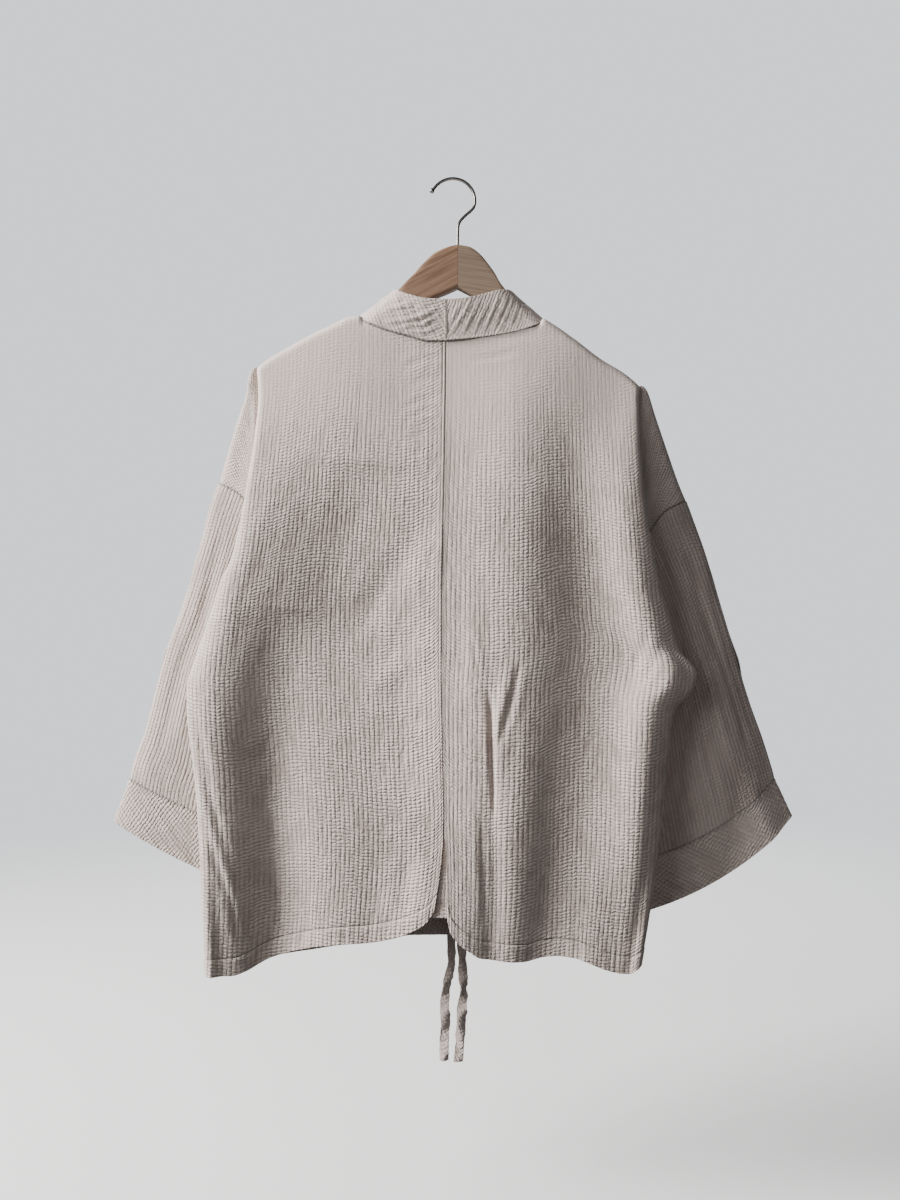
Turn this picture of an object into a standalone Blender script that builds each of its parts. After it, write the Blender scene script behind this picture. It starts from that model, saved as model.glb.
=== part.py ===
"""A kimono jacket in crinkled double gauze, hanging on its wooden hanger. Its back faces -Y.

Lengths in the tables are millimetres. The origin is the inside of the hook's top, where the hook bears.
Heights are given as drops below that point. The jacket's own left is at -X, and +Y is the front side.
"""

import math

import bmesh
import bpy
import numpy as np

for old in list(bpy.data.objects):
    bpy.data.objects.remove(old)

MM = 0.001
WALL = 1.6
BAND_WALL = 2.4
TIE_WIDTH = 10.0
TIE_WALL = 1.8
WIRE = 3.5
BALL_RADIUS = 2.9

# Seams: each edge's half of the gap, and how much further the edges stand apart at the underarm's point
SEAM = 0.2
UNDERARM_EASE = 0.7
# The sleeve starts this far outside and behind the body's edge of the armhole
CLEAR = 0.6
UNDERARM_CLEAR = 1.0
LAYER = 3.0

# Half the depth of a sleeve, how much deeper its cuff opens, and how square its section is
SLEEVE_HALF = 11.0
CUFF_FLARE = 1.5
TUBE_POWER = 2.6

# Cloth over the hanger: radius of the turn at the ridge, and the fronts' bulge
RIDGE_TURN = 9.0
WING_TURN, WING_SWELL = 8.0, 4.0
FRONT_BULGE, BULGE_LEFT_LOW = 9.0, 0.15
# The cloth's length from the ridge to the hem
BODY_LENGTH = 650.0
# How a back panel leaves its side fold, in radii, and how straight it runs to its outer edge
FOLD_ROUND, FOLD_OUT, STRAIGHT = 2.4, 0.3, 0.9
SHORTEST_ARRIVAL = 4.0

SIDES = ("left", "right")
OUT = {"left": -1.0, "right": 1.0}

# How finely the pieces are divided
NECK_COLUMNS = (0.0, 0.2, 0.4, 0.6, 0.77, 0.89, 0.955)
PANEL_COLUMNS = (0.0, 0.14, 0.28, 0.42, 0.56, 0.69, 0.81, 0.9, 0.955, 0.985, 1.0)
WING_COLUMNS = (0.0, 0.07, 0.18, 0.34, 0.56, 0.78, 1.0)
ARMHOLE_ROWS = (0.0, 0.012, 0.035, 0.08, 0.15, 0.25, 0.36, 0.48, 0.6, 0.71, 0.81, 0.9, 0.96, 1.0)
LOWER_ROWS = (0.045, 0.1, 0.19, 0.3, 0.42, 0.54, 0.66, 0.78, 0.88, 0.95, 1.0)
SLEEVE_RINGS = 12
CUFF_RINGS = 3
BAND_COLUMNS = 2

# The centre-back seam, and how far the vent's edges stand off it: drop, x, left edge, right edge
CENTRE = (
    (130, -11.1, 0.0, 0.0), (184, -11.1, 0.0, 0.0), (340, -13.3, 0.0, 0.0), (470, -15.9, 0.0, 0.0),
    (545, -15.9, 0.0, 0.0), (619, -14.9, 0.0, 0.0), (694, -13.3, 0.0, 0.0), (725, -12.8, 1.2, 0.6),
    (765, -12.2, 5.3, 2.0), (795, -12.0, 10.0, 2.5), (812, -12.0, 12.5, 2.6), (880, -12.0, 14.0, 4.0),
)

# The top edge of each back panel, out from the centre: x, drop, y. It ends at the hanger's tip.
TOP_EDGE = {
    "left": (
        (-11.1, 184.0, -15.0), (-31.0, 184.3, -15.0), (-52.0, 179.0, -15.0), (-76.0, 172.5, -14.5),
        (-94.0, 165.7, -13.5), (-103.5, 161.0, -9.5), (-108.0, 153.5, 0.0), (-121.0, 155.0, 0.0),
        (-130.0, 159.3, 0.0), (-161.0, 174.0, 0.0), (-191.0, 190.5, 0.0), (-213.0, 204.0, 0.0),
        (-221.0, 211.0, 0.0),
    ),
    "right": (
        (-11.1, 184.0, -15.0), (7.6, 182.6, -15.0), (28.6, 180.0, -15.0), (58.0, 175.2, -14.5),
        (83.8, 168.0, -13.5), (92.5, 164.0, -9.5), (97.0, 156.5, 0.0), (103.0, 159.5, 0.0),
        (131.0, 178.4, 0.0), (161.0, 200.5, 0.0), (185.0, 215.0, 0.0), (199.0, 226.5, 0.0),
        (204.5, 232.0, 0.0),
    ),
}
NECK_POINT = {"left": -108.0, "right": 97.0}

# The upper outline from the hanger's tip to the end of the dropped shoulder: along, x, y, drop
SHOULDER_END = {
    "left": (
        (0.0, -221.0, 0.0, 211.0), (0.12, -231.0, 0.0, 223.5), (0.24, -238.0, 1.0, 239.0),
        (0.36, -240.8, 3.0, 256.0), (0.6, -252.0, 7.0, 288.0), (0.82, -261.0, 10.0, 317.0),
        (1.0, -268.0, 12.0, 338.0),
    ),
    "right": (
        (0.0, 204.5, 0.0, 232.0), (0.12, 215.0, 0.5, 243.5), (0.24, 222.5, 2.0, 257.0),
        (0.4, 229.5, 4.0, 278.0), (0.6, 239.0, 7.0, 305.0), (0.82, 251.0, 10.0, 338.0),
        (1.0, 260.0, 12.0, 358.0),
    ),
}

# The fold where each back panel turns behind itself, from the hanger's tip to the hem: drop, x
FOLD = {
    "left": (
        (211, -221.0), (247, -219.0), (291, -222.5), (348, -230.5), (404, -241.0), (426, -247.0),
        (448, -257.0), (495, -272.5), (549, -290.5), (564, -294.5), (592, -294.0), (628, -290.0),
        (671, -284.5), (736, -280.0), (807, -276.5), (879, -272.0),
    ),
    "right": (
        (232, 204.5), (252, 203.0), (298, 203.2), (355, 206.5), (404, 213.5), (430, 218.5),
        (471, 227.5), (498, 236.0), (528, 245.5), (540, 257.0), (552, 264.0), (566, 261.0),
        (580, 250.0), (590, 240.0), (631, 233.5), (686, 227.0), (746, 220.5), (821, 210.0),
        (868, 202.0),
    ),
}
# Where the fold passes the lowest point of the armhole
UNDERARM_DROP = {"left": 520.0, "right": 516.0}

# The hem of each back panel: x, drop
HEM = {
    "left": (
        (-24.0, 806.0), (-31.0, 818.0), (-44.0, 827.5), (-66.0, 837.0), (-94.0, 843.0),
        (-123.0, 845.0), (-152.0, 848.5), (-179.0, 856.0), (-206.0, 866.0), (-229.0, 876.5),
        (-243.0, 879.4), (-272.0, 879.4),
    ),
    "right": (
        (-9.4, 816.0), (-6.0, 829.0), (2.7, 840.0), (14.8, 850.0), (25.0, 856.5), (41.0, 859.3),
        (75.0, 862.0), (92.0, 859.0), (109.0, 857.3), (126.0, 858.7), (143.5, 863.6),
        (161.0, 870.7), (177.5, 875.2), (188.0, 876.0), (196.0, 872.0), (202.0, 866.0),
    ),
}

# How deep a back panel lies: share of the way down, y at the centre, y near the fold, radius of the fold
DEPTH = (
    (0.0, -13.0, -9.0, 5.0), (0.05, -15.0, -13.0, 5.5), (0.15, -20.0, -19.5, 6.5), (0.3, -27.0, -26.0, 8.0),
    (0.53, -34.0, -31.0, 9.0), (0.75, -38.0, -34.0, 10.0), (1.0, -41.0, -37.0, 11.0),
)

# The largest folds of the back panels: share across at the top and at the hem, share of the way down where
# the fold starts and ends, half width, and how far it comes forward or falls back (+)
BROAD_FOLDS = {
    "left": (
        (0.80, 0.72, 0.50, 1.60, 34.0, 7.0), (0.38, 0.40, 0.52, 1.50, 46.0, -5.0),
        (0.93, 0.90, 0.22, 0.75, 20.0, -4.5), (0.20, 0.10, 0.25, 0.80, 30.0, 3.0),
    ),
    "right": (
        (0.86, 0.84, 0.12, 0.95, 24.0, -6.0), (0.50, 0.47, 0.60, 1.60, 24.0, 6.5),
        (0.70, 0.72, 0.62, 1.60, 26.0, -5.0), (0.22, 0.22, 0.50, 1.50, 12.0, 4.0),
        (0.60, 0.64, 0.10, 0.60, 40.0, 3.5),
    ),
}

# Armhole seams from the shoulder's end to the underarm: along, x, y, drop
BACK_ARMHOLE = {
    "left": (
        (0.0, -268.0, 12.0, 338.0), (0.03, -262.0, 7.0, 341.0), (0.1, -246.0, 3.0, 349.0),
        (0.2, -231.0, -1.0, 364.0), (0.4, -216.0, -4.0, 398.0), (0.6, -208.0, -5.0, 432.0),
        (0.8, -205.5, -4.0, 471.0), (0.92, -207.0, -3.5, 492.0), (1.0, -204.0, -1.0, 503.0),
    ),
    "right": (
        (0.0, 260.0, 12.0, 358.0), (0.03, 254.0, 7.0, 361.0), (0.1, 236.0, 3.0, 370.0),
        (0.2, 220.0, -1.0, 388.0), (0.4, 203.0, -4.0, 416.0), (0.6, 193.0, -5.0, 446.0),
        (0.8, 188.5, -4.0, 476.0), (0.92, 189.5, -3.5, 494.0), (1.0, 186.5, -1.0, 505.0),
    ),
}
FRONT_ARMHOLE = {
    "left": (
        (0.0, -268.0, 12.0, 338.0), (0.03, -266.0, 17.0, 342.0), (0.1, -258.0, 22.0, 352.0),
        (0.2, -250.0, 25.0, 368.0), (0.4, -237.0, 27.0, 402.0), (0.6, -222.0, 25.0, 438.0),
        (0.8, -207.0, 16.0, 474.0), (0.92, -201.0, 7.5, 494.0), (1.0, -204.0, -1.0, 503.0),
    ),
    "right": (
        (0.0, 260.0, 12.0, 358.0), (0.03, 258.0, 17.0, 362.0), (0.1, 249.0, 22.0, 371.0),
        (0.2, 239.0, 25.0, 386.0), (0.4, 224.0, 27.0, 416.0), (0.6, 206.0, 25.0, 446.0),
        (0.8, 190.0, 16.0, 477.0), (0.92, 184.0, 7.5, 496.0), (1.0, 186.5, -1.0, 505.0),
    ),
}

# Side seams from the underarm to the hem, turned in behind the fold: along, x, y, drop
SIDE_SEAM = {
    "left": (
        (0.0, -204.0, -1.0, 503.0), (0.2, -207.0, -3.0, 575.0), (0.45, -210.0, -1.0, 668.0),
        (0.75, -209.0, -2.0, 780.0), (1.0, -206.0, -1.0, 868.0),
    ),
    "right": (
        (0.0, 186.5, -1.0, 505.0), (0.2, 181.0, -3.0, 577.0), (0.45, 169.0, -1.0, 666.0),
        (0.75, 155.0, -2.0, 776.0), (1.0, 142.0, -1.0, 860.0),
    ),
}

# Front edges, where the neckband is sewn on: share of the way down, x, y, drop
FRONT_EDGE = {
    "left": (
        (0.0, -108.0, 0.0, 153.5), (0.006, -107.5, 8.0, 158.0), (0.018, -106.0, 12.0, 167.0),
        (0.1, -95.0, 13.0, 222.0), (0.2, -82.0, 13.0, 292.0), (0.35, -66.0, 13.0, 396.0),
        (0.53, -54.0, 13.0, 520.0), (0.7, -50.0, 13.0, 640.0), (1.0, -50.0, 13.0, 850.0),
    ),
    "right": (
        (0.0, 97.0, 0.0, 156.5), (0.006, 96.5, 8.0, 161.0), (0.018, 95.0, 12.0, 170.0),
        (0.1, 88.0, 13.0, 222.0), (0.2, 77.0, 13.0, 296.0), (0.35, 63.0, 13.0, 400.0),
        (0.53, 53.0, 13.0, 520.0), (0.7, 50.0, 13.0, 640.0), (1.0, 50.0, 13.0, 857.0),
    ),
}

# The neckband's free edge round the back neck, by share of the way to the shoulder: along, x, y, drop
NECKBAND_BACK = {
    "left": (
        (0.0, -11.1, -15.5, 138.4), (0.2, -31.0, -15.5, 137.4), (0.36, -44.0, -14.5, 135.0),
        (0.5, -54.6, -13.0, 131.5), (0.68, -62.0, -11.0, 128.5), (0.86, -67.5, -6.5, 125.6),
        (1.0, -69.5, 0.0, 124.0),
    ),
    "right": (
        (0.0, -11.1, -15.5, 138.4), (0.2, 8.0, -15.5, 137.0), (0.36, 22.0, -14.5, 134.0),
        (0.5, 34.0, -13.0, 130.5), (0.68, 47.0, -11.5, 126.8), (0.86, 57.5, -7.0, 124.6),
        (1.0, 62.7, 0.0, 124.0),
    ),
}
# and down the fronts, by share of the way down
NECKBAND_FRONT = {
    "left": (
        (0.0, -69.5, 0.0, 124.0), (0.006, -69.5, 6.0, 126.5), (0.018, -68.0, 11.0, 134.0),
        (0.1, -52.0, 14.5, 205.0), (0.2, -38.0, 15.0, 280.0), (0.35, -21.0, 15.0, 388.0),
        (0.53, -8.0, 15.0, 514.0), (0.7, -4.0, 15.0, 638.0), (1.0, -4.0, 15.0, 850.0),
    ),
    "right": (
        (0.0, 62.7, 0.0, 124.0), (0.006, 62.5, 6.0, 126.5), (0.018, 61.0, 11.0, 134.0),
        (0.1, 47.0, 14.5, 205.0), (0.2, 34.0, 15.0, 282.0), (0.35, 19.0, 15.0, 388.0),
        (0.53, 8.0, 15.0, 514.0), (0.7, 4.0, 15.0, 638.0), (1.0, 4.0, 15.0, 857.0),
    ),
}

# The sleeves' outer and inner edges, from the armhole to the cuff's seam: along, x, y, drop
SLEEVE_OUTER = {
    "left": (
        (0.0, -268.0, 12.0, 338.0), (0.08, -277.5, 15.0, 362.0), (0.2, -288.5, 18.0, 402.0),
        (0.4, -307.5, 20.0, 470.0), (0.58, -326.0, 20.0, 523.0), (0.7, -339.5, 20.0, 568.0),
        (0.86, -354.5, 20.0, 621.0), (0.96, -367.0, 20.0, 655.0), (1.0, -371.5, 20.0, 674.0),
    ),
    "right": (
        (0.0, 260.0, 12.0, 358.0), (0.08, 268.0, 15.0, 378.0), (0.2, 281.5, 18.0, 413.0),
        (0.4, 299.5, 20.0, 471.5), (0.6, 317.5, 20.0, 531.0), (0.78, 335.0, 20.0, 589.0),
        (0.9, 351.0, 20.0, 634.5), (1.0, 363.0, 20.0, 674.0),
    ),
}
SLEEVE_INNER = {
    "left": (
        (0.0, -204.0, -1.0, 503.0), (0.1, -214.0, 4.0, 530.0), (0.25, -226.0, 12.0, 571.0),
        (0.5, -227.0, 20.0, 638.0), (0.75, -193.0, 20.0, 702.0), (0.93, -168.0, 20.0, 739.0),
        (1.0, -165.0, 20.0, 750.0),
    ),
    "right": (
        (0.0, 186.5, -1.0, 505.0), (0.1, 197.0, 4.0, 531.0), (0.25, 211.0, 12.0, 572.0),
        (0.5, 215.0, 20.0, 641.0), (0.75, 199.0, 20.0, 708.0), (1.0, 170.0, 20.0, 774.0),
    ),
}
# The cuffs' outer and inner edges, and how far the lower edge sags between them
CUFF_OUTER = {
    "left": ((0.0, -371.5, 20.0, 674.0), (0.5, -381.0, 20.0, 700.0), (1.0, -389.0, 20.0, 722.0)),
    "right": ((0.0, 363.0, 20.0, 674.0), (0.5, 373.0, 20.0, 695.0), (1.0, 382.5, 20.0, 716.0)),
}
CUFF_INNER = {
    "left": ((0.0, -165.0, 20.0, 750.0), (0.5, -174.0, 20.0, 781.0), (1.0, -184.0, 20.0, 810.0)),
    "right": ((0.0, 170.0, 20.0, 774.0), (0.5, 174.0, 20.0, 803.0), (1.0, 179.0, 20.0, 833.0)),
}
CUFF_SAG = {"left": 7.0, "right": 17.0}

# The hanger's arms: x, drop of the top, drop of the underside, half thickness
ARM = {
    "left": (
        (1.85, 73.9, 122.0, 7.0), (-8.0, 76.2, 126.5, 7.0), (-23.5, 83.0, 132.8, 7.0),
        (-37.0, 95.2, 138.8, 7.0), (-48.0, 107.5, 144.0, 7.0), (-57.0, 116.5, 149.0, 7.0),
        (-63.0, 122.9, 152.5, 6.4), (-70.0, 129.2, 156.5, 5.6), (-88.0, 144.5, 167.0, 5.0),
        (-108.0, 159.0, 178.0, 5.0), (-130.0, 163.5, 189.0, 5.4), (-161.0, 176.6, 203.0, 5.4),
        (-191.0, 193.5, 216.0, 5.0), (-205.0, 202.5, 221.0, 4.4), (-215.0, 210.5, 222.0, 3.2),
    ),
    "right": (
        (2.15, 73.9, 122.0, 7.0), (14.6, 76.2, 128.5, 7.0), (26.3, 84.0, 134.0, 7.0),
        (35.8, 95.2, 139.0, 7.0), (43.7, 106.4, 142.8, 7.0), (49.3, 116.5, 146.5, 7.0),
        (55.0, 123.6, 150.5, 6.2), (63.0, 131.0, 156.0, 5.6), (80.0, 147.0, 168.5, 5.0),
        (97.0, 162.0, 180.0, 5.0), (131.0, 181.3, 203.0, 5.4), (161.0, 203.5, 222.0, 5.0),
        (180.0, 215.3, 231.0, 4.4), (193.0, 225.5, 235.0, 3.2),
    ),
}

ARM_SIDES = 12

# The hook: middle and radius of its round, where its tip and its neck start on it, its stem
HOOK_X, HOOK_DROP, HOOK_RADIUS = -3.5, 23.4, 25.15
HOOK_TIP_ANGLE, HOOK_NECK_ANGLE = 147.0, -22.0
HOOK_NECK = ((14.6, 36.3), (7.5, 42.8), (3.2, 48.0), (2.1, 54.0))
STEM_X, STEM_END = 2.0, 73.2
BALL_GAP = 0.3

# The ties, from their sewn ends down: drop, x, turn about the length in degrees
TIES = {
    "left": (
        (640, -9.0, 0.0), (700, -8.5, 4.0), (780, -7.0, -6.0), (850, -5.5, 8.0), (892, -6.5, 25.0),
        (920, -12.0, -15.0), (948, -12.5, 12.0), (994, -13.5, 4.0),
    ),
    "right": (
        (640, 9.0, 0.0), (700, 8.5, -4.0), (780, 8.0, 6.0), (866, 7.0, -10.0), (892, 7.5, 18.0),
        (920, 8.8, 62.0), (948, 6.3, -10.0), (996, 2.8, 6.0),
    ),
}
TIE_Y = 17.6
TIE_ROWS = 15

# The strip behind the vent: top and bottom drops, its edges' x at each, and its gap to the panels
VENT_STRIP = ((700.0, -25.0, -2.0), (813.0, -29.0, -6.0))
VENT_GAP = 0.8
VENT_ROWS = 5

CLOTH = (0.60, 0.53, 0.45)
CLOTH_SHADE = (0.55, 0.48, 0.41)
BEECH_WARM = (0.55, 0.33, 0.18)
BEECH_PALE = (0.58, 0.38, 0.24)
STEEL = (0.42, 0.40, 0.37)


def smooth(xs, ys, at):
    """A smooth curve through a table's values that never overshoots them."""
    xs, ys, at = (np.asarray(a, float) for a in (xs, ys, at))
    if xs[0] > xs[-1]:
        xs, at = -xs, -at
    step = np.diff(xs)
    slope = np.diff(ys) / step
    tangent = np.concatenate([[slope[0]], np.zeros(len(xs) - 2), [slope[-1]]])
    for i in range(1, len(xs) - 1):
        if slope[i - 1] * slope[i] > 0:
            a, b = 2 * step[i] + step[i - 1], step[i] + 2 * step[i - 1]
            tangent[i] = (a + b) / (a / slope[i - 1] + b / slope[i])
    i = np.clip(np.searchsorted(xs, at, side="right") - 1, 0, len(xs) - 2)
    t = np.clip((at - xs[i]) / step[i], 0.0, 1.0)
    start, end = ys[i] + 0.0, ys[i + 1] + 0.0
    return (
        start * (1 + 2 * t) * (1 - t) ** 2
        + tangent[i] * step[i] * t * (1 - t) ** 2
        + end * t * t * (3 - 2 * t)
        + tangent[i + 1] * step[i] * t * t * (t - 1)
    )


def column(table, n):
    return [row[n] for row in table]


def route(table, at):
    """Points (x, y, z) on a table of along, x, y, drop."""
    along = column(table, 0)
    x, y, drop = (smooth(along, column(table, n), at) for n in (1, 2, 3))
    return np.stack([x, y, -drop], axis=-1)


def quarter(distance, radius):
    """How far a quarter circle has turned away, from 0 at its start to 1."""
    return np.sqrt(1 - (1 - np.clip(distance / radius, 0, 1)) ** 2)


def fade(at, start, end):
    t = np.clip((at - start) / (end - start), 0, 1)
    return t * t * (3 - 2 * t)


def underarm_share(side):
    drops = column(FOLD[side], 0)
    return (UNDERARM_DROP[side] - drops[0]) / (drops[-1] - drops[0])


def rows(side):
    """Shares of the way down at each row, with one row at the underarm."""
    at = underarm_share(side)
    return np.array([t * at for t in ARMHOLE_ROWS] + [at + (1 - at) * t for t in LOWER_ROWS])


def fold_line(side, down):
    """The outermost points of a back panel's side fold."""
    drops = column(FOLD[side], 0)
    drop = drops[0] + (drops[-1] - drops[0]) * down
    share = column(DEPTH, 0)
    y = smooth(share, column(DEPTH, 2), down) + smooth(share, column(DEPTH, 3), down)
    return np.stack([smooth(drops, column(FOLD[side], 1), drop), y, -drop], axis=-1)


def broad_folds(side, across, down, width):
    y = 0.0 * across
    for top, hem, start, end, half, depth in BROAD_FOLDS[side]:
        middle = top + (hem - top) * down
        share = np.clip((down - start) / (end - start), 0, 1)
        y = y + depth * np.sin(math.pi * share) * np.exp(-(((across - middle) * width / half) ** 2))
    return y * fade(1 - across, 0.0, 0.06) * fade(across, 0.0, 0.05)


def centre_edge(side, drop):
    """The x of a back panel's centre edge."""
    drops = column(CENTRE, 0)
    apart = smooth(drops, column(CENTRE, 2 if side == "left" else 3), drop)
    return smooth(drops, column(CENTRE, 1), drop) + OUT[side] * apart


def back_main(side, across, down):
    """A back panel from the centre seam (across 0) to its side fold (across 1)."""
    edge = TOP_EDGE[side]
    top_x = edge[0][0] + (edge[-1][0] - edge[0][0]) * across
    top_drop = smooth(column(edge, 0), column(edge, 1), top_x)
    top_y = smooth(column(edge, 0), column(edge, 2), top_x)
    hem = HEM[side]
    hem_x = hem[0][0] + (hem[-1][0] - hem[0][0]) * across
    drop = top_drop + (smooth(column(hem, 0), column(hem, 1), hem_x) - top_drop) * down
    fold = fold_line(side, down)
    middle = centre_edge(side, drop)
    width = np.abs(fold[..., 0] - middle)
    x = middle + (fold[..., 0] - middle) * across
    share = column(DEPTH, 0)
    at_centre, at_edge, radius = (smooth(share, column(DEPTH, n), down) for n in (1, 2, 3))
    body = at_centre + (at_edge - at_centre) * across ** 2 + broad_folds(side, across, down, width)
    over = quarter(drop - top_drop, RIDGE_TURN)
    y = top_y * (1 - over) + body * over
    turned = 1 - quarter((1 - across) * width, radius)
    y = y + (fold[..., 1] - y) * turned * fade(down, -0.02, 0.03)
    return np.stack([x, y, -drop], axis=-1)


def back_end(side, down):
    """The outer edge of a back panel: the armhole seam, then the side seam."""
    at = underarm_share(side)
    upper = route(BACK_ARMHOLE[side], np.clip(down / at, 0, 1))
    lower = route(SIDE_SEAM[side], np.clip((down - at) / (1 - at), 0, 1))
    return np.where((down <= at)[..., None], upper, lower)


def front_end(side, down):
    at = underarm_share(side)
    upper = route(FRONT_ARMHOLE[side], np.clip(down / at, 0, 1))
    lower = route(SIDE_SEAM[side], np.clip((down - at) / (1 - at), 0, 1))
    return np.where((down <= at)[..., None], upper, lower)


def back_wing(side, across, down):
    """The rest of a back panel: turned in behind the fold, out to its outer edge (across 1)."""
    start, end = fold_line(side, down), back_end(side, down)
    radius = smooth(column(DEPTH, 0), column(DEPTH, 3), down)[..., None]
    at = underarm_share(side)
    share = np.clip(down / at, 0, 1)[..., None]
    out = np.array([OUT[side], 0.0, 0.0])
    leave = np.array([0.0, 1.0, 0.0]) * radius * FOLD_ROUND + out * radius * FOLD_OUT
    inward = -out * np.maximum(np.abs(end - start)[..., :1], SHORTEST_ARRIVAL) * STRAIGHT
    outward = (end - start) * STRAIGHT
    arrive = outward + (inward - outward) * fade(share, 0.12, 0.42)
    t = across[..., None]
    wing = (
        start * (1 + 2 * t) * (1 - t) ** 2
        + leave * fade(share, 0.0, 0.1) * t * (1 - t) ** 2
        + end * t * t * (3 - 2 * t)
        + arrive * t * t * (t - 1)
    )
    nothing = np.zeros_like(down)
    first_start, first_end = fold_line(side, nothing), back_end(side, nothing)
    straight = first_start + (first_end - first_start) * t
    bow = route(SHOULDER_END[side], across) - straight
    swell = quarter(down * BODY_LENGTH, WING_TURN) * WING_SWELL * np.sin(math.pi * across)
    wing = wing + bow * (1 - share) ** 2
    wing[..., 1] -= swell * (1 - share[..., 0]) ** 2
    return wing


def back_panel(side, across, down):
    """A back panel's middle surface, across 0 to 1 to the fold and 1 to 2 behind it."""
    main = back_main(side, np.clip(across, 0, 1), down)
    wing = back_wing(side, np.clip(across - 1, 0, 1), down)
    return np.where((across <= 1)[..., None], main, wing)


def neck_share(side):
    edge = TOP_EDGE[side]
    return (NECK_POINT[side] - edge[0][0]) / (edge[-1][0] - edge[0][0])


def back_columns(side):
    neck = neck_share(side)
    inner = [neck * n for n in NECK_COLUMNS]
    outer = [neck + (1 - neck) * t for t in PANEL_COLUMNS]
    return np.array(inner + outer + [1 + t for t in WING_COLUMNS[1:]])


def front_panel(side, across, down):
    """A front panel's middle surface, from its front edge (0) to its outer edge, numbered as the back's."""
    neck = neck_share(side)
    first = np.zeros_like(down)
    ridge = back_panel(side, across, first)
    fine = np.linspace(neck, 2.0, 200)
    line = back_panel(side, fine, np.zeros(200))
    long = np.concatenate([[0], np.cumsum(np.linalg.norm(np.diff(line, axis=0), axis=1))])
    t = (np.interp(across, fine, long) / long[-1])[..., None]
    start, end = route(FRONT_EDGE[side], down), front_end(side, down)
    flat = start + (end - start) * t
    first_start, first_end = route(FRONT_EDGE[side], first), front_end(side, first)
    flat_first = first_start + (first_end - first_start) * t
    at = underarm_share(side)
    panel = flat + (ridge - flat_first) * (1 - np.clip(down / at, 0, 1)[..., None]) ** 2
    less = 1 - (1 - BULGE_LEFT_LOW) * fade(down, 0.1, 0.6)
    bulge = np.sin(math.pi * t[..., 0]) * quarter(down * BODY_LENGTH, RIDGE_TURN) * less
    panel[..., 1] += FRONT_BULGE * bulge
    return panel


def sleeve(side, round_, along):
    """A sleeve's middle surface: round_ 0 at the upper fold, the back to 1 at the inner fold, the front to 2.
    It starts at the armhole's seams, behind the body where the body folds over it."""
    on_back = round_ <= 1
    away = np.where(on_back, round_, 2 - round_)
    outer, inner = route(SLEEVE_OUTER[side], along), route(SLEEVE_INNER[side], along)
    points = tube(outer, inner, round_, SLEEVE_HALF * fade(along, 0.0, np.where(on_back, 0.5, 0.3)))
    first = np.zeros_like(along)
    chord = tube(route(SLEEVE_OUTER[side], first), route(SLEEVE_INNER[side], first), round_, first)
    back = route(BACK_ARMHOLE[side], np.clip(round_, 0, 1))
    front = route(FRONT_ARMHOLE[side], np.clip(2 - round_, 0, 1))
    tip = fade(away, 0.8, 1.0)
    layered = np.where(on_back, fade(away, 0.06, 0.25) + tip * 0.5, tip * 1.5)
    seam = np.where(on_back[..., None], back, front)
    off = OUT[side] * (CLEAR + UNDERARM_CLEAR * tip)
    seam = seam + np.stack([off, LAYER * layered, 0.0 * away], axis=-1)
    points = points + (seam - chord) * ((1 - along) ** 2)[..., None]
    points[..., 2] -= sag(side, round_) * along**2
    return points


def tube(outer, inner, round_, half):
    """Points round a flattened tube between two edges."""
    share = np.where(round_ <= 1, round_, 2 - round_)
    swell = (1 - np.abs(2 * share - 1) ** TUBE_POWER) ** (1 / TUBE_POWER)
    points = outer + (inner - outer) * share[..., None]
    points[..., 1] -= half * swell * np.where(round_ <= 1, 1.0, -1.0)
    return points


def cuff(side, round_, along):
    outer, inner = route(CUFF_OUTER[side], along), route(CUFF_INNER[side], along)
    points = tube(outer, inner, round_, SLEEVE_HALF + CUFF_FLARE * along)
    points[..., 2] -= sag(side, round_)
    return points


def sag(side, round_):
    return CUFF_SAG[side] * np.abs(np.sin(math.pi * round_))


def round_shares():
    back = list(ARMHOLE_ROWS)
    return np.array(back + [2 - t for t in reversed(back[1:-1])])


def material(name, colour, roughness, metallic=0.0):
    made = bpy.data.materials.new(name)
    made.use_nodes = True
    shader = made.node_tree.nodes["Principled BSDF"]
    shader.inputs["Base Color"].default_value = (*colour, 1.0)
    shader.inputs["Roughness"].default_value = roughness
    shader.inputs["Metallic"].default_value = metallic
    return made


def add(name, mesh, made):
    mesh.materials.append(made)
    mesh.shade_smooth()
    mesh.set_sharp_from_angle(angle=math.radians(50))
    thing = bpy.data.objects.new(name, mesh)
    bpy.context.collection.objects.link(thing)
    return thing


def unit(v):
    return v / np.maximum(np.linalg.norm(v, axis=-1, keepdims=True), 1e-9)


def seam_move(points, beyond, axis, last, gap):
    """A grid with one outer row drawn in by the seam's gap, square to the seam, given the row beyond it."""
    moved = np.moveaxis(points.copy(), axis, 0)
    edge, next_ = (moved[-1], moved[-2]) if last else (moved[0], moved[1])
    inward = unit(unit(next_ - edge) - unit(beyond - edge))
    along = unit(np.gradient(edge, axis=0))
    inward = unit(inward - (inward * along).sum(-1, keepdims=True) * along)
    edge += inward * gap
    return np.moveaxis(moved, 0, axis)


def padded(points, beyond, axis, last):
    """The grid with one more row: the neighbour's where there is one, else the grid's own run on."""
    rows_ = np.moveaxis(points, axis, 0)
    edge, next_ = (rows_[-1], rows_[-2]) if last else (rows_[0], rows_[1])
    length = np.linalg.norm(next_ - edge, axis=-1, keepdims=True)
    extra = 2 * edge - next_ if beyond is None else edge + unit(beyond - edge) * length
    joined = [*rows_, extra] if last else [extra, *rows_]
    return np.moveaxis(np.array(joined), 0, axis)


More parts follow.
